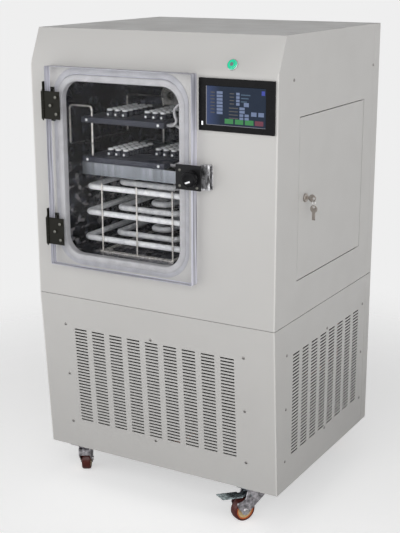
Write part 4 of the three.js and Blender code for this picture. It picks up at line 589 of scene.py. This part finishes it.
SMOOTHING = smoothing_group(35)
EDGE_RADIUS = {
    node: radius
    for radius, nodes in (
        (0.4, "lock_barrel"),
        (0.5, "door_key spare_key"),
        (0.6, "drip_tray hinge_bracket_upper hinge_bracket_lower latch_strike"),
        (0.7, "hinge_leaf_upper hinge_leaf_lower caster_front_right_fork caster_front_left_fork"),
        (0.7, "caster_rear_right_fork caster_rear_left_fork"),
        (0.8, "lower_left_panel access_door condenser"),
        (0.8, "caster_front_right_pedal caster_front_left_pedal"),
        (0.9, "upper_housing rear_upper_cover rear_lower_cover"),
        (1.0, "latch_plate touch_panel_bezel"),
        (2.0, "control_box"),
    )
    for node in nodes.split()
}
OWN_LOOK = {
    "shelf_hanger_left": "hanger_steel",
    "shelf_hanger_right": "rod_steel",
    "latch_plate": "black_paint",
    "coil_stand": "rod_steel",
    "latch_strike": "strike_steel",
    "vacuum_pipe": "port_pale_highlight",
    "lower_left_panel": "inside_shaded_paint",
    "lower_right_panel": "inside_shaded_paint",
    "rear_lower_cover": "inside_shaded_paint",
}


def dress_solids():
    for name, solid in frame["nodes"].items():
        solid.data.materials.clear()
        solid.data.materials.append(LOOKS[OWN_LOOK.get(name, SLOT_OF[name])].material)
        smooth = solid.modifiers.new("smooth", "NODES")
        smooth.node_group = SMOOTHING
        if name in EDGE_RADIUS:
            bevel = solid.modifiers.new("edges", "BEVEL")
            bevel.width = EDGE_RADIUS[name] * MM
            bevel.segments = 2
            bevel.limit_method = "ANGLE"
            bevel.angle_limit = math.radians(40)
            bevel.harden_normals = True


# ------------------------ fasteners
SUNK = -0.6  # where a head's foot lies, below the sheet's face


def screw_heads(name, places, body, look="screw", radius=4.0, height=1.8, slot="zinc"):
    """Round heads with a cross recess, at pairs of (point, outward direction)."""
    r, h = radius, height
    profile = [(0, SUNK), (0.9 * r, SUNK), (r, 0.25 * h), (0.88 * r, 0.7 * h), (0.62 * r, h)]
    profile += [(0.18 * r, h, 0.55 * r), (0.12 * r, 0.35 * h, 0.42 * r), (0, 0.3 * h)]
    shape = Shape()
    for k, (point, outward) in enumerate(places):
        turn = Matrix.Rotation(k * 0.7, 4, "Z")
        shape.turn(profile, turned_to(point, outward) @ turn, sides=16)
    shape.build(name, [look], body, slot)


def flat_heads(name, places):
    """Countersunk heads that lie flush with the sheet."""
    profile = [(0, SUNK), (2.2, SUNK), (3.8, -0.1), (3.8, 0.02), (3.5, 0.05), (0, 0.05)]
    shape = Shape()
    for point, outward in places:
        shape.turn(profile, turned_to(point, outward), sides=20)
    shape.build(name, ["screw"], "cabinet", "zinc")


TOP_SCREWS = ((-287.8, 474.5), (-326.7, 179.4), (317.1, 154.0), (341.4, 433.6))


def panel_screws():
    back_of = BOTTOM_SETBACK / SEAM_RISE
    outward = (0, -math.cos(LEAN), -math.sin(LEAN))
    front = [
        (place(across, back_of * (SEAM_RISE - rise), rise), outward)
        for across in (-281, -5, 272)
        for rise in (373, 225, 78)
        if (across, rise) != (-5, 225)
    ]
    screw_heads("front_panel_screws", front, "cabinet")
    half = HALF_WIDTH / MM
    for side in (1, -1):
        spots = [(83, 1064), (590, 1059)]
        spots += [(back, rise) for back in (73, 325, 578) for rise in (374, 227, 82)]
        spots.remove((325, 227))
        heads = [(place(side * half, back, rise), (side, 0, 0)) for back, rise in spots]
        if side > 0:
            screw_heads("right_side_screws", heads, "cabinet")
        else:
            flat_heads("left_side_screws", heads)
    top = (HOUSING_HIGH.z - BASE_Z) / MM
    flat_heads("top_screws", [(place(across, back, top), (0, 0, 1)) for across, back in TOP_SCREWS])
    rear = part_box("rear_upper_cover")[1].y
    heads = []
    for across in (-330, 0, 330):
        for rise in (30, 425, 490, 1140):
            point = place(across, 0, rise)
            heads.append((Vector((point.x, rear, point.z)), (0, 1, 0)))
    screw_heads("rear_cover_screws", heads, "cabinet")


def door_screws(name, node, spots, radius, height):
    """Screws on a fitting of the door, at parts of its width and height."""
    low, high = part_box(node)
    size = high - low
    heads = [
        (Vector((low.x + across * size.x, low.y, low.z + up * size.z)), (0, -1, 0))
        for across, up in spots
    ]
    screw_heads(name, heads, "chamber_door", "hinge_screw", radius, height)


def hinge_and_latch_screws():
    for level in ("upper", "lower"):
        spots = ((0.86, 0.2), (0.54, 0.5), (0.84, 0.8))
        door_screws(f"hinge_{level}_screws", f"hinge_leaf_{level}", spots, 4.2, 1.6)
    spots = ((0.17, 0.78), (0.17, 0.15), (0.86, 0.12))
    door_screws("latch_plate_screws", "latch_plate", spots, 3.6, 1.4)


# ------------------------ shelves, vials, coil and hoses
# All sizes and places of the fittings are in mm.
SHELF_ROD_PLACES = ((-222, 78), (-172, 355), (2, 215), (2, 355))
VIAL_PITCH = 24
VIAL_ROWS = 6
VIAL_COLUMNS = 3
VIAL_CLUSTERS = {"upper": ((-196, 96), (-82, 102)), "lower": ((-196, 96), (-82, 154))}
VIAL_HEIGHT = 20
BOLT_INSET = 17


def vial(shape, base):
    """A glass body, its cap, and a pale bead on its front face, a painted glint."""
    foot = Matrix.Translation(base)
    body = [(0, 0.2), (9.6, 0.2), (10.8, 1.4), (10.8, 9.5)]
    body += [(9.6, 12.2), (7.2, 13.6), (7.2, 14.4), (0, 14.4)]
    shape.turn(body, foot, sides=20)
    cap = [(0, 14.2), (7.6, 14.2), (7.9, 14.8), (7.9, 18.6)]
    cap += [(7.2, 19.5), (4.8, 19.7), (4.4, 19.2), (0, 19.2)]
    shape.turn(cap, foot, sides=20, look=1)
    # The small pale bead on the vial's front face is a painted glint.
    glint_spot = turned_to(Vector(base) + Vector((0, -10.5, 5)) * MM, (0, -1, 0))
    shape.turn([(0, -0.4), (3.4, -0.4), (3.4, 0.5), (2.6, 0.9), (0, 1.0)], glint_spot, sides=12, look=1)


def apply_cut(piece, cutter):
    """Takes the cutter's volume out of the piece and deletes the cutter."""
    cut = piece.modifiers.new("cut", "BOOLEAN")
    cut.operation = "DIFFERENCE"
    cut.object = cutter
    cut.solver = "EXACT"
    bpy.context.view_layer.update()
    graph = bpy.context.evaluated_depsgraph_get()
    mesh = bpy.data.meshes.new_from_object(piece.evaluated_get(graph))
    piece.modifiers.remove(cut)
    piece.data = mesh
    mesh.set_sharp_from_angle(angle=math.radians(40))
    bpy.data.objects.remove(cutter)


def shelf(level):
    """A shelf plate with edge bolts and its two groups of vials. The upper one has rod holes."""
    node = f"{level}_shelf"
    low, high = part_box(node)
    top = high.z - VIAL_HEIGHT * MM
    plate = Shape().block(low, (high.x, high.y, top), bevel=1.2)
    piece = plate.build(f"{node}_plate", ["dark_plate"], "cabinet", "dark_plate", [node])
    if level == "upper":
        cutter = Shape()
        for across, back in SHELF_ROD_PLACES:
            centre = place(across, back, 0)
            foot = Matrix.Translation((centre.x, centre.y, low.z - 5 * MM))
            cutter.turn([(0, 0), (3, 0), (3, 30), (0, 30)], foot, sides=20)
        apply_cut(piece, cutter.build("rod_holes", ["dark_plate"], "cabinet"))
    vials = Shape()
    for left, front in VIAL_CLUSTERS[level]:
        for column in range(VIAL_COLUMNS):
            for row in range(VIAL_ROWS):
                across = left + (column + 0.5) * VIAL_PITCH
                centre = place(across, front + (row + 0.5) * VIAL_PITCH, 0)
                vial(vials, (centre.x, centre.y, top))
    vials.build(f"{node}_vials", ["vial_body", "vial_cap"], "cabinet", "silicone")
    bolts = [
        (Vector((edge, low.y, (low.z + top) / 2)), (0, -1, 0))
        for edge in (low.x + BOLT_INSET * MM, high.x - BOLT_INSET * MM)
    ]
    screw_heads(f"{node}_bolts", bolts, "cabinet", "vial_cap", 4.0, 2.5, "bright_steel")


COIL_LEVELS = 3
COIL_PITCH = 64
COIL_PITCH_DEEP = 58
COIL_LEFT, COIL_RIGHT, COIL_FRONT, COIL_REAR = -241, 65, 80, 430
COIL_TOP_RISE = 751
COIL_LEVEL_PITCH = 70.5
COIL_LEVEL_SPREAD = 6
COIL_NEST_RISE = 7
COIL_RADIUS = 7.8
COIL_BEND = 18


def coil_level(level):
    """The corners of one flat spiral, from its rear right end to its rear middle end."""
    height = COIL_TOP_RISE - level * COIL_LEVEL_PITCH
    points = []
    for nest in range(3):
        spread = 0 if nest == 2 else level * COIL_LEVEL_SPREAD
        left = COIL_LEFT + nest * COIL_PITCH - spread
        right = COIL_RIGHT - nest * COIL_PITCH
        front = COIL_FRONT + nest * COIL_PITCH_DEEP
        rise = height + nest * COIL_NEST_RISE
        run = [place(right, COIL_REAR, rise), place(right, front, rise)]
        run += [place(left, front, rise), place(left, COIL_REAR, rise)]
        points += run if nest % 2 == 0 else run[::-1]
    return points


def cold_trap_coil():
    points = []
    for step in range(COIL_LEVELS):
        run = coil_level(COIL_LEVELS - 1 - step)
        points += run if step % 2 == 0 else run[::-1]
    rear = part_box("cold_trap_coil")[1].y
    points[0].y = rear
    points[-1].y = rear
    path = rounded_path(points, COIL_BEND * MM, steps=8, spacing=9 * MM)
    tube = Shape().sweep(path, COIL_RADIUS * MM, sides=14)
    tube.build("coil_tube", ["frost"], "cabinet", "frost", ["cold_trap_coil"], angle=80)


HOSE_RADIUS = 3.9
HOSE_DROP = 7.5  # its ends below a shelf's top face
SUPPLY_CLIMB = 69.5  # from the upper shelf's end to the wall's


def hoses():
    """The supply hose and the link between the shelves, as (across, rise) points in two planes."""
    edge = (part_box("upper_shelf")[1].x - CENTRE_X) / MM + 0.3
    upper, lower = (
        (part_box(node)[1].z - BASE_Z) / MM - VIAL_HEIGHT - HOSE_DROP
        for node in ("upper_shelf", "lower_shelf")
    )
    wall = (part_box("shelf_supply_hose")[1].x - CENTRE_X) / MM
    entry = upper + SUPPLY_CLIMB
    supply = [(edge, upper), (edge + 16, upper), (edge + 27, upper + 12), (edge + 22, upper + 28)]
    supply += [(edge + 24, upper + 44), (edge + 50, upper + 62), (wall - 15, entry), (wall, entry)]
    link = [(edge, upper), (edge + 12, upper), (edge + 36, upper - 16)]
    link += [(edge + 46, (upper + lower) / 2), (edge + 36, lower + 16)]
    link += [(edge + 12, lower), (edge, lower)]
    for name, back, route in (("supply", 78, supply), ("link", 94, link)):
        path = spline([place(across, back, rise) for across, rise in route], 8)
        hose = Shape().sweep(path, HOSE_RADIUS * MM, sides=16)
        node = f"shelf_{name}_hose"
        hose.build(f"{name}_hose", ["silicone"], "cabinet", "silicone", [node], angle=80)


# ------------------------ touch panel and button
FIELD_PROUD = 0.15  # mm in front of the display
FIELD_SHIFT = 4.5  # mm that the fields stand to the right of the display's left edge
ROW = 0.086  # of the display's height
FIELDS = ["field_value", "field_dim", "field_label", "field_green", "field_red", "field_blue"]
FIELDS += ["glare"]


def display_fields():
    """Plain colour fields, in parts of the display, where it has values, labels and buttons."""
    low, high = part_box("touch_panel_screen")
    size = high - low
    start = low.x + FIELD_SHIFT * MM
    width = size.x - FIELD_SHIFT * MM
    shape = Shape()

    def field(look, left, right, bottom, top):
        shape.block(
            (start + left * width, low.y - FIELD_PROUD * MM, low.z + bottom * size.z),
            (start + right * width, low.y + 0.1 * MM, low.z + top * size.z),
            look=FIELDS.index(look),
        )

    def row(top, value, label):
        field("field_value", *value, top - 0.066, top)
        field("field_label", *label, top - 0.045, top - 0.022)

    for k in range(7):
        row(0.875 - k * ROW, (0.16, 0.262), (0.05, 0.125))
    for k in range(4):
        row(0.865 - k * ROW, (0.497, 0.556), (0.385, 0.462))
        row(0.50 - k * ROW, (0.556, 0.622 if k > 1 else 0.645), (0.372, 0.53))
    for k in range(3):
        top = 0.84 - k * ROW
        field("field_dim", 0.58, 0.74 - 0.03 * k, top - 0.04, top - 0.01)
    field("field_value", 0.63, 0.715, 0.52, 0.62)
    for k in range(2):
        top = 0.33 - k * ROW
        field("field_value", 0.645, 0.715, top - 0.066, top)
    field("field_value", 0.755, 0.847, 0.29, 0.395)
    field("field_value", 0.878, 0.972, 0.29, 0.395)
    for left, right in ((0.30, 0.449), (0.478, 0.622), (0.65, 0.797)):
        field("field_green", left, right, 0.06, 0.185)
    field("field_red", 0.82, 0.963, 0.06, 0.18)
    field("field_blue", 0.93, 0.985, 0.83, 0.94)
    start, width = low.x, size.x
    field("glare", 0.0, 0.012, 0.0, 1.0)
    field("glare", 0.0, 1.0, 0.0, 0.012)
    shape.build("display_fields", FIELDS, "cabinet", "display_glass")


def panel_light():
    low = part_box("touch_panel_bezel")[0]
    centre = low + Vector((10.2, 0, 18)) * MM
    near, far = centre - Vector((2.2, 0.5, 4.6)) * MM, centre + Vector((2.2, 0.4, 4.6)) * MM
    lamp = Shape().block(near, far, bevel=0.4)
    lamp.build("panel_light", ["white_glow"], "cabinet", "display_glass")


BUTTON_ACROSS, BUTTON_RISE, BUTTON_UP_SLOPE = 234.6, 1079, 23


def button():
    """The metal rim, the lit ring set in it, and the dished cap, all on the sloping front."""
    outward = -Vector(JOINTS["power_button_press"]["axis"]).normalized()
    slope = math.atan2(outward.z, -outward.y)
    back = BUTTON_UP_SLOPE * math.sin(slope)
    rise = BUTTON_RISE + BUTTON_UP_SLOPE * math.cos(slope)
    matrix = turned_to(place(BUTTON_ACROSS, back, rise), outward)
    profile = [(8.5, -22), (11, -22), (11, 0.3), (14, 0.3), (14, 2.2), (13.4, 3.0)]
    profile += [(12.8, 3.2), (12.5, 2.4), (8.9, 2.4), (8.5, 2.6), (8.5, -22)]
    rim = Shape().turn(profile, matrix, sides=48)
    rim.build("button_rim", ["green_ring"], "cabinet", "green_ring", ["button_housing"])
    profile = [(9.0, 2.45), (12.4, 2.45), (12.2, 3.1), (9.2, 3.1), (9.0, 2.45)]
    ring = Shape().turn(profile, matrix, sides=48)
    ring.build("button_lit_ring", ["green_glow"], "cabinet", "green_ring")
    profile = [(0, -7.2), (8, -7.2), (8, 6), (7.5, 6.6), (6.8, 6.8), (5.6, 6.4), (0, 6.2)]
    cap = Shape().turn(profile, matrix, sides=40)
    profile = [(0, 6), (4.9, 6), (4.9, 6.7), (4.4, 6.9), (3, 6.6), (0, 6.5)]
    cap.turn(profile, matrix, sides=40, look=1)
    cap.build("button_face", ["green_glow", "grey_cap"], "button_cap", "grey_cap", ["button_cap"])


# ------------------------ chamber door and gasket
def outline(low, high, radius, inset, depth, steps):
    """A rounded rectangle drawn in by inset mm, standing upright at that depth along y."""
    radius = (radius - inset) * MM
    drawn = inset * MM + radius
    points = []
    for turn, (right, up) in enumerate(((1, 1), (-1, 1), (-1, -1), (1, -1))):
        middle_x = (high.x if right > 0 else low.x) - right * drawn
        middle_z = (high.z if up > 0 else low.z) - up * drawn
        for k in range(steps + 1):
            angle = math.pi / 2 * (turn + k / steps)
            across, rise = radius * math.cos(angle), radius * math.sin(angle)
            points.append(Vector((middle_x + across, depth, middle_z + rise)))
    return points


def chamber_door():
    """The clear sheet: polished edges of their own look between two clear faces."""
    low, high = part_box("chamber_door")
    section = [(1.5, 0), (0.45, 0.45), (0, 1.5)]
    depths = [(inset, low.y + depth * MM) for inset, depth in section]
    depths += [(inset, high.y - depth * MM) for inset, depth in reversed(section)]
    outlines = [outline(low, high, 4, inset, depth, 4) for inset, depth in depths]
    sheet = Shape().skin(outlines, False, look=1)
    for face in sheet.mesh.faces:
        if len(face.verts) > 4:
            face.material_index = 0
    looks = ["acrylic", "acrylic_edge"]
    sheet.build("door_sheet", looks, "chamber_door", "acrylic", ["chamber_door"], angle=15)


GASKET_BODY = 5.2  # how deep its body is; the thin lip goes on into the mouth
FOOT_BESIDE, FOOT_BELOW, FOOT_ABOVE = 9.5, 10.5, 17  # how far the foot reaches past the ring


def gasket():
    """The rubber ring: a rounded face on a body, a thin lip into the mouth, and a thin foot.

    The foot lies on the cabinet's face and hides the gap round the ring.
    """
    low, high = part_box("chamber_gasket")
    deep = (high.y - low.y) / MM
    section = [(0, GASKET_BODY), (0, 3.0), (0.8, 1.2), (3.2, 0.0), (9, 0.0), (14.6, 0.0)]
    section += [(17.0, 1.0), (18, 3.2), (18, deep), (15, deep), (15, GASKET_BODY)]
    outlines = [outline(low, high, 66, inset, low.y + depth * MM, 20) for inset, depth in section]
    ring = Shape().skin(outlines, True)
    foot_low = low - Vector((FOOT_BESIDE, 0, FOOT_BELOW)) * MM
    foot_high = high + Vector((FOOT_BESIDE, 0, FOOT_ABOVE)) * MM
    outlines = [
        outline(foot_low, foot_high, 76, inset, FRONT_Y - proud * MM, 20)
        for inset, proud in ((0, 0.3), (0, 0.9), (0.6, 1.2), (15, 1.2), (15, 0.3))
    ]
    ring.skin(outlines, True, look=1)
    looks = ["silicone", "gasket_foot"]
    ring.build("mouth_gasket", looks, "cabinet", "silicone", ["chamber_gasket"], angle=70)


# ------------------------ latch knob and keys
CAM_HALF = 3  # half the width of the knob's square shaft and cam


def latch_knob():
    """The knob, a pale bar on its face that is a painted glint, and the cam that it turns."""
    low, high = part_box("latch_knob")
    pivot = Vector(JOINTS["latch_turn"]["pos_m"])
    face = Vector((pivot.x, low.y, pivot.z))
    back = (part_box("latch_plate")[0].y - low.y) / MM - 0.3
    deep = (high.y - low.y) / MM - 4
    profile = [(0, 1.2), (9, 0.9), (12.5, 0), (16.5, 0), (18.6, 0.9), (19.9, 3.4), (19.9, 15)]
    profile += [(19.2, 17.2), (17.6, 18), (11, 18.4), (11, back)]
    profile += [(CAM_HALF, back), (CAM_HALF, deep), (0, deep)]
    knob = Shape().turn(profile, turned_to(face, (0, 1, 0)), sides=56)
    # The pale bar on the knob's face is a painted glint.
    lean = Matrix.Rotation(math.radians(-22), 4, "Y")
    glint_turn = Matrix.Translation(face + Vector((-2, 0, -8)) * MM) @ lean
    near, far = Vector((-8.5, 0.1, -2.2)) * MM, Vector((8.5, 1.4, 2.2)) * MM
    knob.block(near, far, bevel=0.5, look=2, turn=glint_turn)
    near = (pivot.x - CAM_HALF * MM, high.y - 4 * MM, pivot.z - CAM_HALF * MM)
    knob.block(near, (pivot.x + CAM_HALF * MM, high.y, high.z), bevel=0.6, look=1)
    looks = ["black_plastic", "bright_steel", "knob_glint"]
    knob.build("latch_handle", looks, "latch_knob", "black_plastic", ["latch_knob"])


RING_STEPS, WIRE_SIDES = 64, 10


def key_ring():
    low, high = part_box("key_ring")
    centre = (low + high) / 2
    reach = (high.z - low.z) / 2 - 0.8 * MM
    outlines = []
    for step in range(RING_STEPS):
        turned = math.tau * step / RING_STEPS
        point = centre + Vector((0, math.sin(turned), math.cos(turned))) * reach
        out = (point - centre).normalized()
        outlines.append([])
        for side in range(WIRE_SIDES):
            angle = math.tau * side / WIRE_SIDES
            offset = out * math.cos(angle) + Vector((1, 0, 0)) * math.sin(angle)
            outlines[-1].append(point + offset * 0.7 * MM)
    wire = Shape().skin(outlines, True)
    wire.build("split_ring", ["bright_steel"], "key_ring", "bright_steel", ["key_ring"], angle=80)


# ------------------------ casters
FRONT_CASTERS = ("front_right", "front_left")
CASTERS = (*FRONT_CASTERS, "rear_right", "rear_left")


def both_sides(profile):
    """A profile and its mirror image across the wheel's middle plane."""
    return profile + [(radius, -along) for radius, along in reversed(profile)]


def wheel(name):
    """A dark rounded tread on an amber hub with a stepped face."""
    joint = JOINTS[f"caster_{name}_roll"]
    matrix = turned_to(Vector(joint["pos_m"]), joint["axis"])
    tread = both_sides([(24.2, -12.4), (28.6, -12.4), (30.4, -11), (31.3, -8), (31.5, -4)])
    tread.append(tread[0])
    hub = [(4.6, -10.6), (9, -10.6), (9.8, -11.6), (11, -11.6), (12, -9.4), (20, -9.4)]
    hub = both_sides([*hub, (22, -11.2), (24.1, -11.8)])
    hub.append(hub[0])
    rim = [(21.6, -12.0), (24.6, -12.7), (24.9, -12.3), (24.2, -11.0), (21.6, -11.0), (21.6, -12.0)]
    shape = Shape().turn(tread, matrix, sides=48).turn(hub, matrix, sides=48, look=1)
    shape.turn(rim, matrix, sides=48, look=2)
    body = f"caster_{name}_wheel"
    shape.build(f"caster_{name}_tyre", ["tread", "amber_hub", "hub_rim"], body, "tread", [body])


# The front forks, in mm.
CHEEK_INNER, CHEEK_OUTER = 14, 17  # from the wheel's middle plane
NOSE = -32  # the fork's front end, ahead of the swivel pin
SHEET = CHEEK_OUTER - CHEEK_INNER
SKIRT = 20  # height of the sheet across the nose
BOSS = 12.5  # radius of the cheek below the axle
SWIVEL_HOLE, SWIVEL_RING = 4.4, 20


def fork(name):
    """A pressed fork with the broad cheeks of a braked caster, and its axle."""
    body = f"caster_{name}_fork"
    pin = Vector(JOINTS[f"caster_{name}_swivel"]["pos_m"])
    roll = JOINTS[f"caster_{name}_roll"]
    hub = Vector(roll["pos_m"])
    axis = Vector(roll["axis"]).normalized()
    away = hub - pin
    away.z = 0
    trail = away.length / MM
    away.normalize()
    turned = Matrix((axis, away, (0, 0, 1))).transposed().to_4x4()
    matrix = Matrix.Translation((pin.x, pin.y, 0)) @ turned
    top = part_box(body)[1].z / MM
    cheek = [(NOSE, top), (NOSE, top - SKIRT)]
    for step in range(9):
        angle = math.radians(200 + step * 150 / 8)
        cheek.append((trail + BOSS * math.cos(angle), hub.z / MM + BOSS * math.sin(angle)))
    cheek += [(trail + 22, 42), (trail + 27, 54), (trail + 24, 59), (trail + 10, 61)]
    cheek += [(trail, 68), (23, top)]
    shape = Shape()
    for sides in ((CHEEK_INNER, CHEEK_OUTER), (-CHEEK_OUTER, -CHEEK_INNER)):
        faces = [[Vector((across, along, rise)) * MM for along, rise in cheek] for across in sides]
        shape.skin([[matrix @ point for point in face] for face in faces], False)
    for end, height in ((0, SHEET), (NOSE + SHEET, SKIRT)):
        low, high = Vector((-CHEEK_INNER, NOSE, top - height)), Vector((CHEEK_INNER, end, top))
        shape.block(low * MM, high * MM, turn=matrix)
    ring = [(SWIVEL_HOLE, top - SHEET), (SWIVEL_RING, top - SHEET)]
    ring += [(SWIVEL_RING, top), (SWIVEL_HOLE, top), (SWIVEL_HOLE, top - SHEET)]
    shape.turn(ring, matrix, sides=40)
    axle = both_sides([(0, -19.5), (6.2, -19.5), (6.5, -19), (6.5, -17), (4, -17)])
    shape.turn(axle, turned_to(hub, axis), sides=24, look=1)
    piece = shape.build(body + "_pressing", ["zinc", "bright_steel"], body, "zinc", [body])
    edges = piece.modifiers.new("edges", "BEVEL")
    edges.width = 0.7 * MM
    edges.segments = 2
    edges.limit_method = "ANGLE"


# ------------------------ floor, light and camera
PALE = 0.863  # the plain background, as light
FLOOR_RADIUS = 14.0
FLOOR_FADE = (0.8, 2.0)  # where the floor passes into the background, from its middle
FLOOR_LIFT = 0.49
SKY_LEVEL = 0.70
SKY_TILT = (-0.02, -0.25, -0.66)  # how the soft light changes towards +X, +Y and +Z


def floor():
    """A pale disc that keeps the shadow near the object and fades into the plain background."""
    mesh = bmesh.new()
    bmesh.ops.create_circle(mesh, cap_ends=True, segments=96, radius=FLOOR_RADIUS)
    data = bpy.data.meshes.new("floor")
    mesh.to_mesh(data)
    mesh.free()
    disc = add_object("floor", data)
    material = bpy.data.materials.new("floor")
    material.use_nodes = True
    tree = material.node_tree
    tree.nodes.clear()
    diffuse = add_node(tree, "ShaderNodeBsdfDiffuse", Color=(0.8, 0.8, 0.8, 1))
    seen = add_node(tree, "ShaderNodeLightPath").outputs["Is Camera Ray"]
    lift = computed(tree, "MULTIPLY", seen, FLOOR_LIFT)
    glow = add_node(tree, "ShaderNodeEmission", Strength=lift)
    both = add_node(tree, "ShaderNodeAddShader")
    feed(tree, both.inputs[0], diffuse.outputs["BSDF"])
    feed(tree, both.inputs[1], glow.outputs["Emission"])
    coords = add_node(tree, "ShaderNodeTexCoord")
    reach = add_node(tree, "ShaderNodeVectorMath")
    reach.operation = "LENGTH"
    feed(tree, reach.inputs[0], coords.outputs["Object"])
    limits = dict(zip(("From Min", "From Max"), FLOOR_FADE))
    fade = add_node(tree, "ShaderNodeMapRange", Value=reach.outputs["Value"], **limits)
    fade.interpolation_type = "SMOOTHSTEP"
    clear = add_node(tree, "ShaderNodeBsdfTransparent").outputs["BSDF"]
    surface = mixed_shaders(tree, fade.outputs["Result"], both.outputs["Shader"], clear)
    add_node(tree, "ShaderNodeOutputMaterial", Surface=surface)
    data.materials.append(material)


def world():
    """Soft light from all round, stronger from the front; the view sees it plain and pale."""
    made = bpy.data.worlds.new("studio")
    bpy.context.scene.world = made
    made.use_nodes = True
    tree = made.node_tree
    tree.nodes.clear()
    coords = add_node(tree, "ShaderNodeTexCoord")
    dot = add_node(tree, "ShaderNodeVectorMath")
    dot.operation = "DOT_PRODUCT"
    feed(tree, dot.inputs[0], coords.outputs["Generated"])
    feed(tree, dot.inputs[1], SKY_TILT)
    level = computed(tree, "ADD", dot.outputs["Value"], SKY_LEVEL)
    soft = add_node(tree, "ShaderNodeBackground", Strength=level).outputs["Background"]
    plain = add_node(tree, "ShaderNodeBackground", Color=(PALE, PALE, PALE, 1))
    path = add_node(tree, "ShaderNodeLightPath").outputs
    seen = path["Is Camera Ray"]
    for name in ("Is Glossy Ray", "Is Transmission Ray"):
        seen = computed(tree, "MAXIMUM", seen, path[name])
    surface = mixed_shaders(tree, seen, soft, plain.outputs["Background"])
    add_node(tree, "ShaderNodeOutputWorld", Surface=surface)


def lamp(name, location, target, size, power):
    data = bpy.data.lights.new(name, "AREA")
    data.shape = "RECTANGLE"
    data.size, data.size_y = size
    data.energy = power
    made = add_object(name, data)
    made.location = location
    aim = Vector(target) - Vector(location)
    made.rotation_mode = "QUATERNION"
    made.rotation_quaternion = aim.to_track_quat("-Z", "Y")


CAMERA_PLACE = (1.4786, -2.6330, 1.4392)
CAMERA_TURN = 29.99
CAMERA_TILT = 15.5
CAMERA_ROLL = -0.11
CAMERA_LENS = 75.22


def camera():
    data = bpy.data.cameras.new("camera")
    data.lens = CAMERA_LENS
    data.sensor_width = 36
    data.clip_start, data.clip_end = 0.05, 100
    made = add_object("camera", data)
    turn = Matrix.Rotation(math.radians(CAMERA_TURN), 4, "Z")
    tilt = Matrix.Rotation(math.radians(90 - CAMERA_TILT), 4, "X")
    roll = Matrix.Rotation(math.radians(CAMERA_ROLL), 4, "Z")
    made.matrix_world = Matrix.Translation(CAMERA_PLACE) @ turn @ tilt @ roll
    bpy.context.scene.camera = made


camera()
dress_solids()
panel_screws()
hinge_and_latch_screws()
for level in ("upper", "lower"):
    shelf(level)
cold_trap_coil()
hoses()
display_fields()
panel_light()
button()
chamber_door()
gasket()
latch_knob()
key_ring()
for caster in CASTERS:
    wheel(caster)
for caster in FRONT_CASTERS:
    fork(caster)
floor()
world()
lamp("key", (1.6, -3.8, 2.2), (0.1, 0, 0.8), (5.0, 3.6), power=65)
lamp("fill", (-2.6, -3.0, 1.1), (0, 0, 0.5), (3.2, 2.4), power=23)
lamp("side", (3.0, -0.9, 0.6), (0, 0, 0.3), (2.6, 1.3), power=17)
bpy.context.scene.view_settings.view_transform = "Standard"
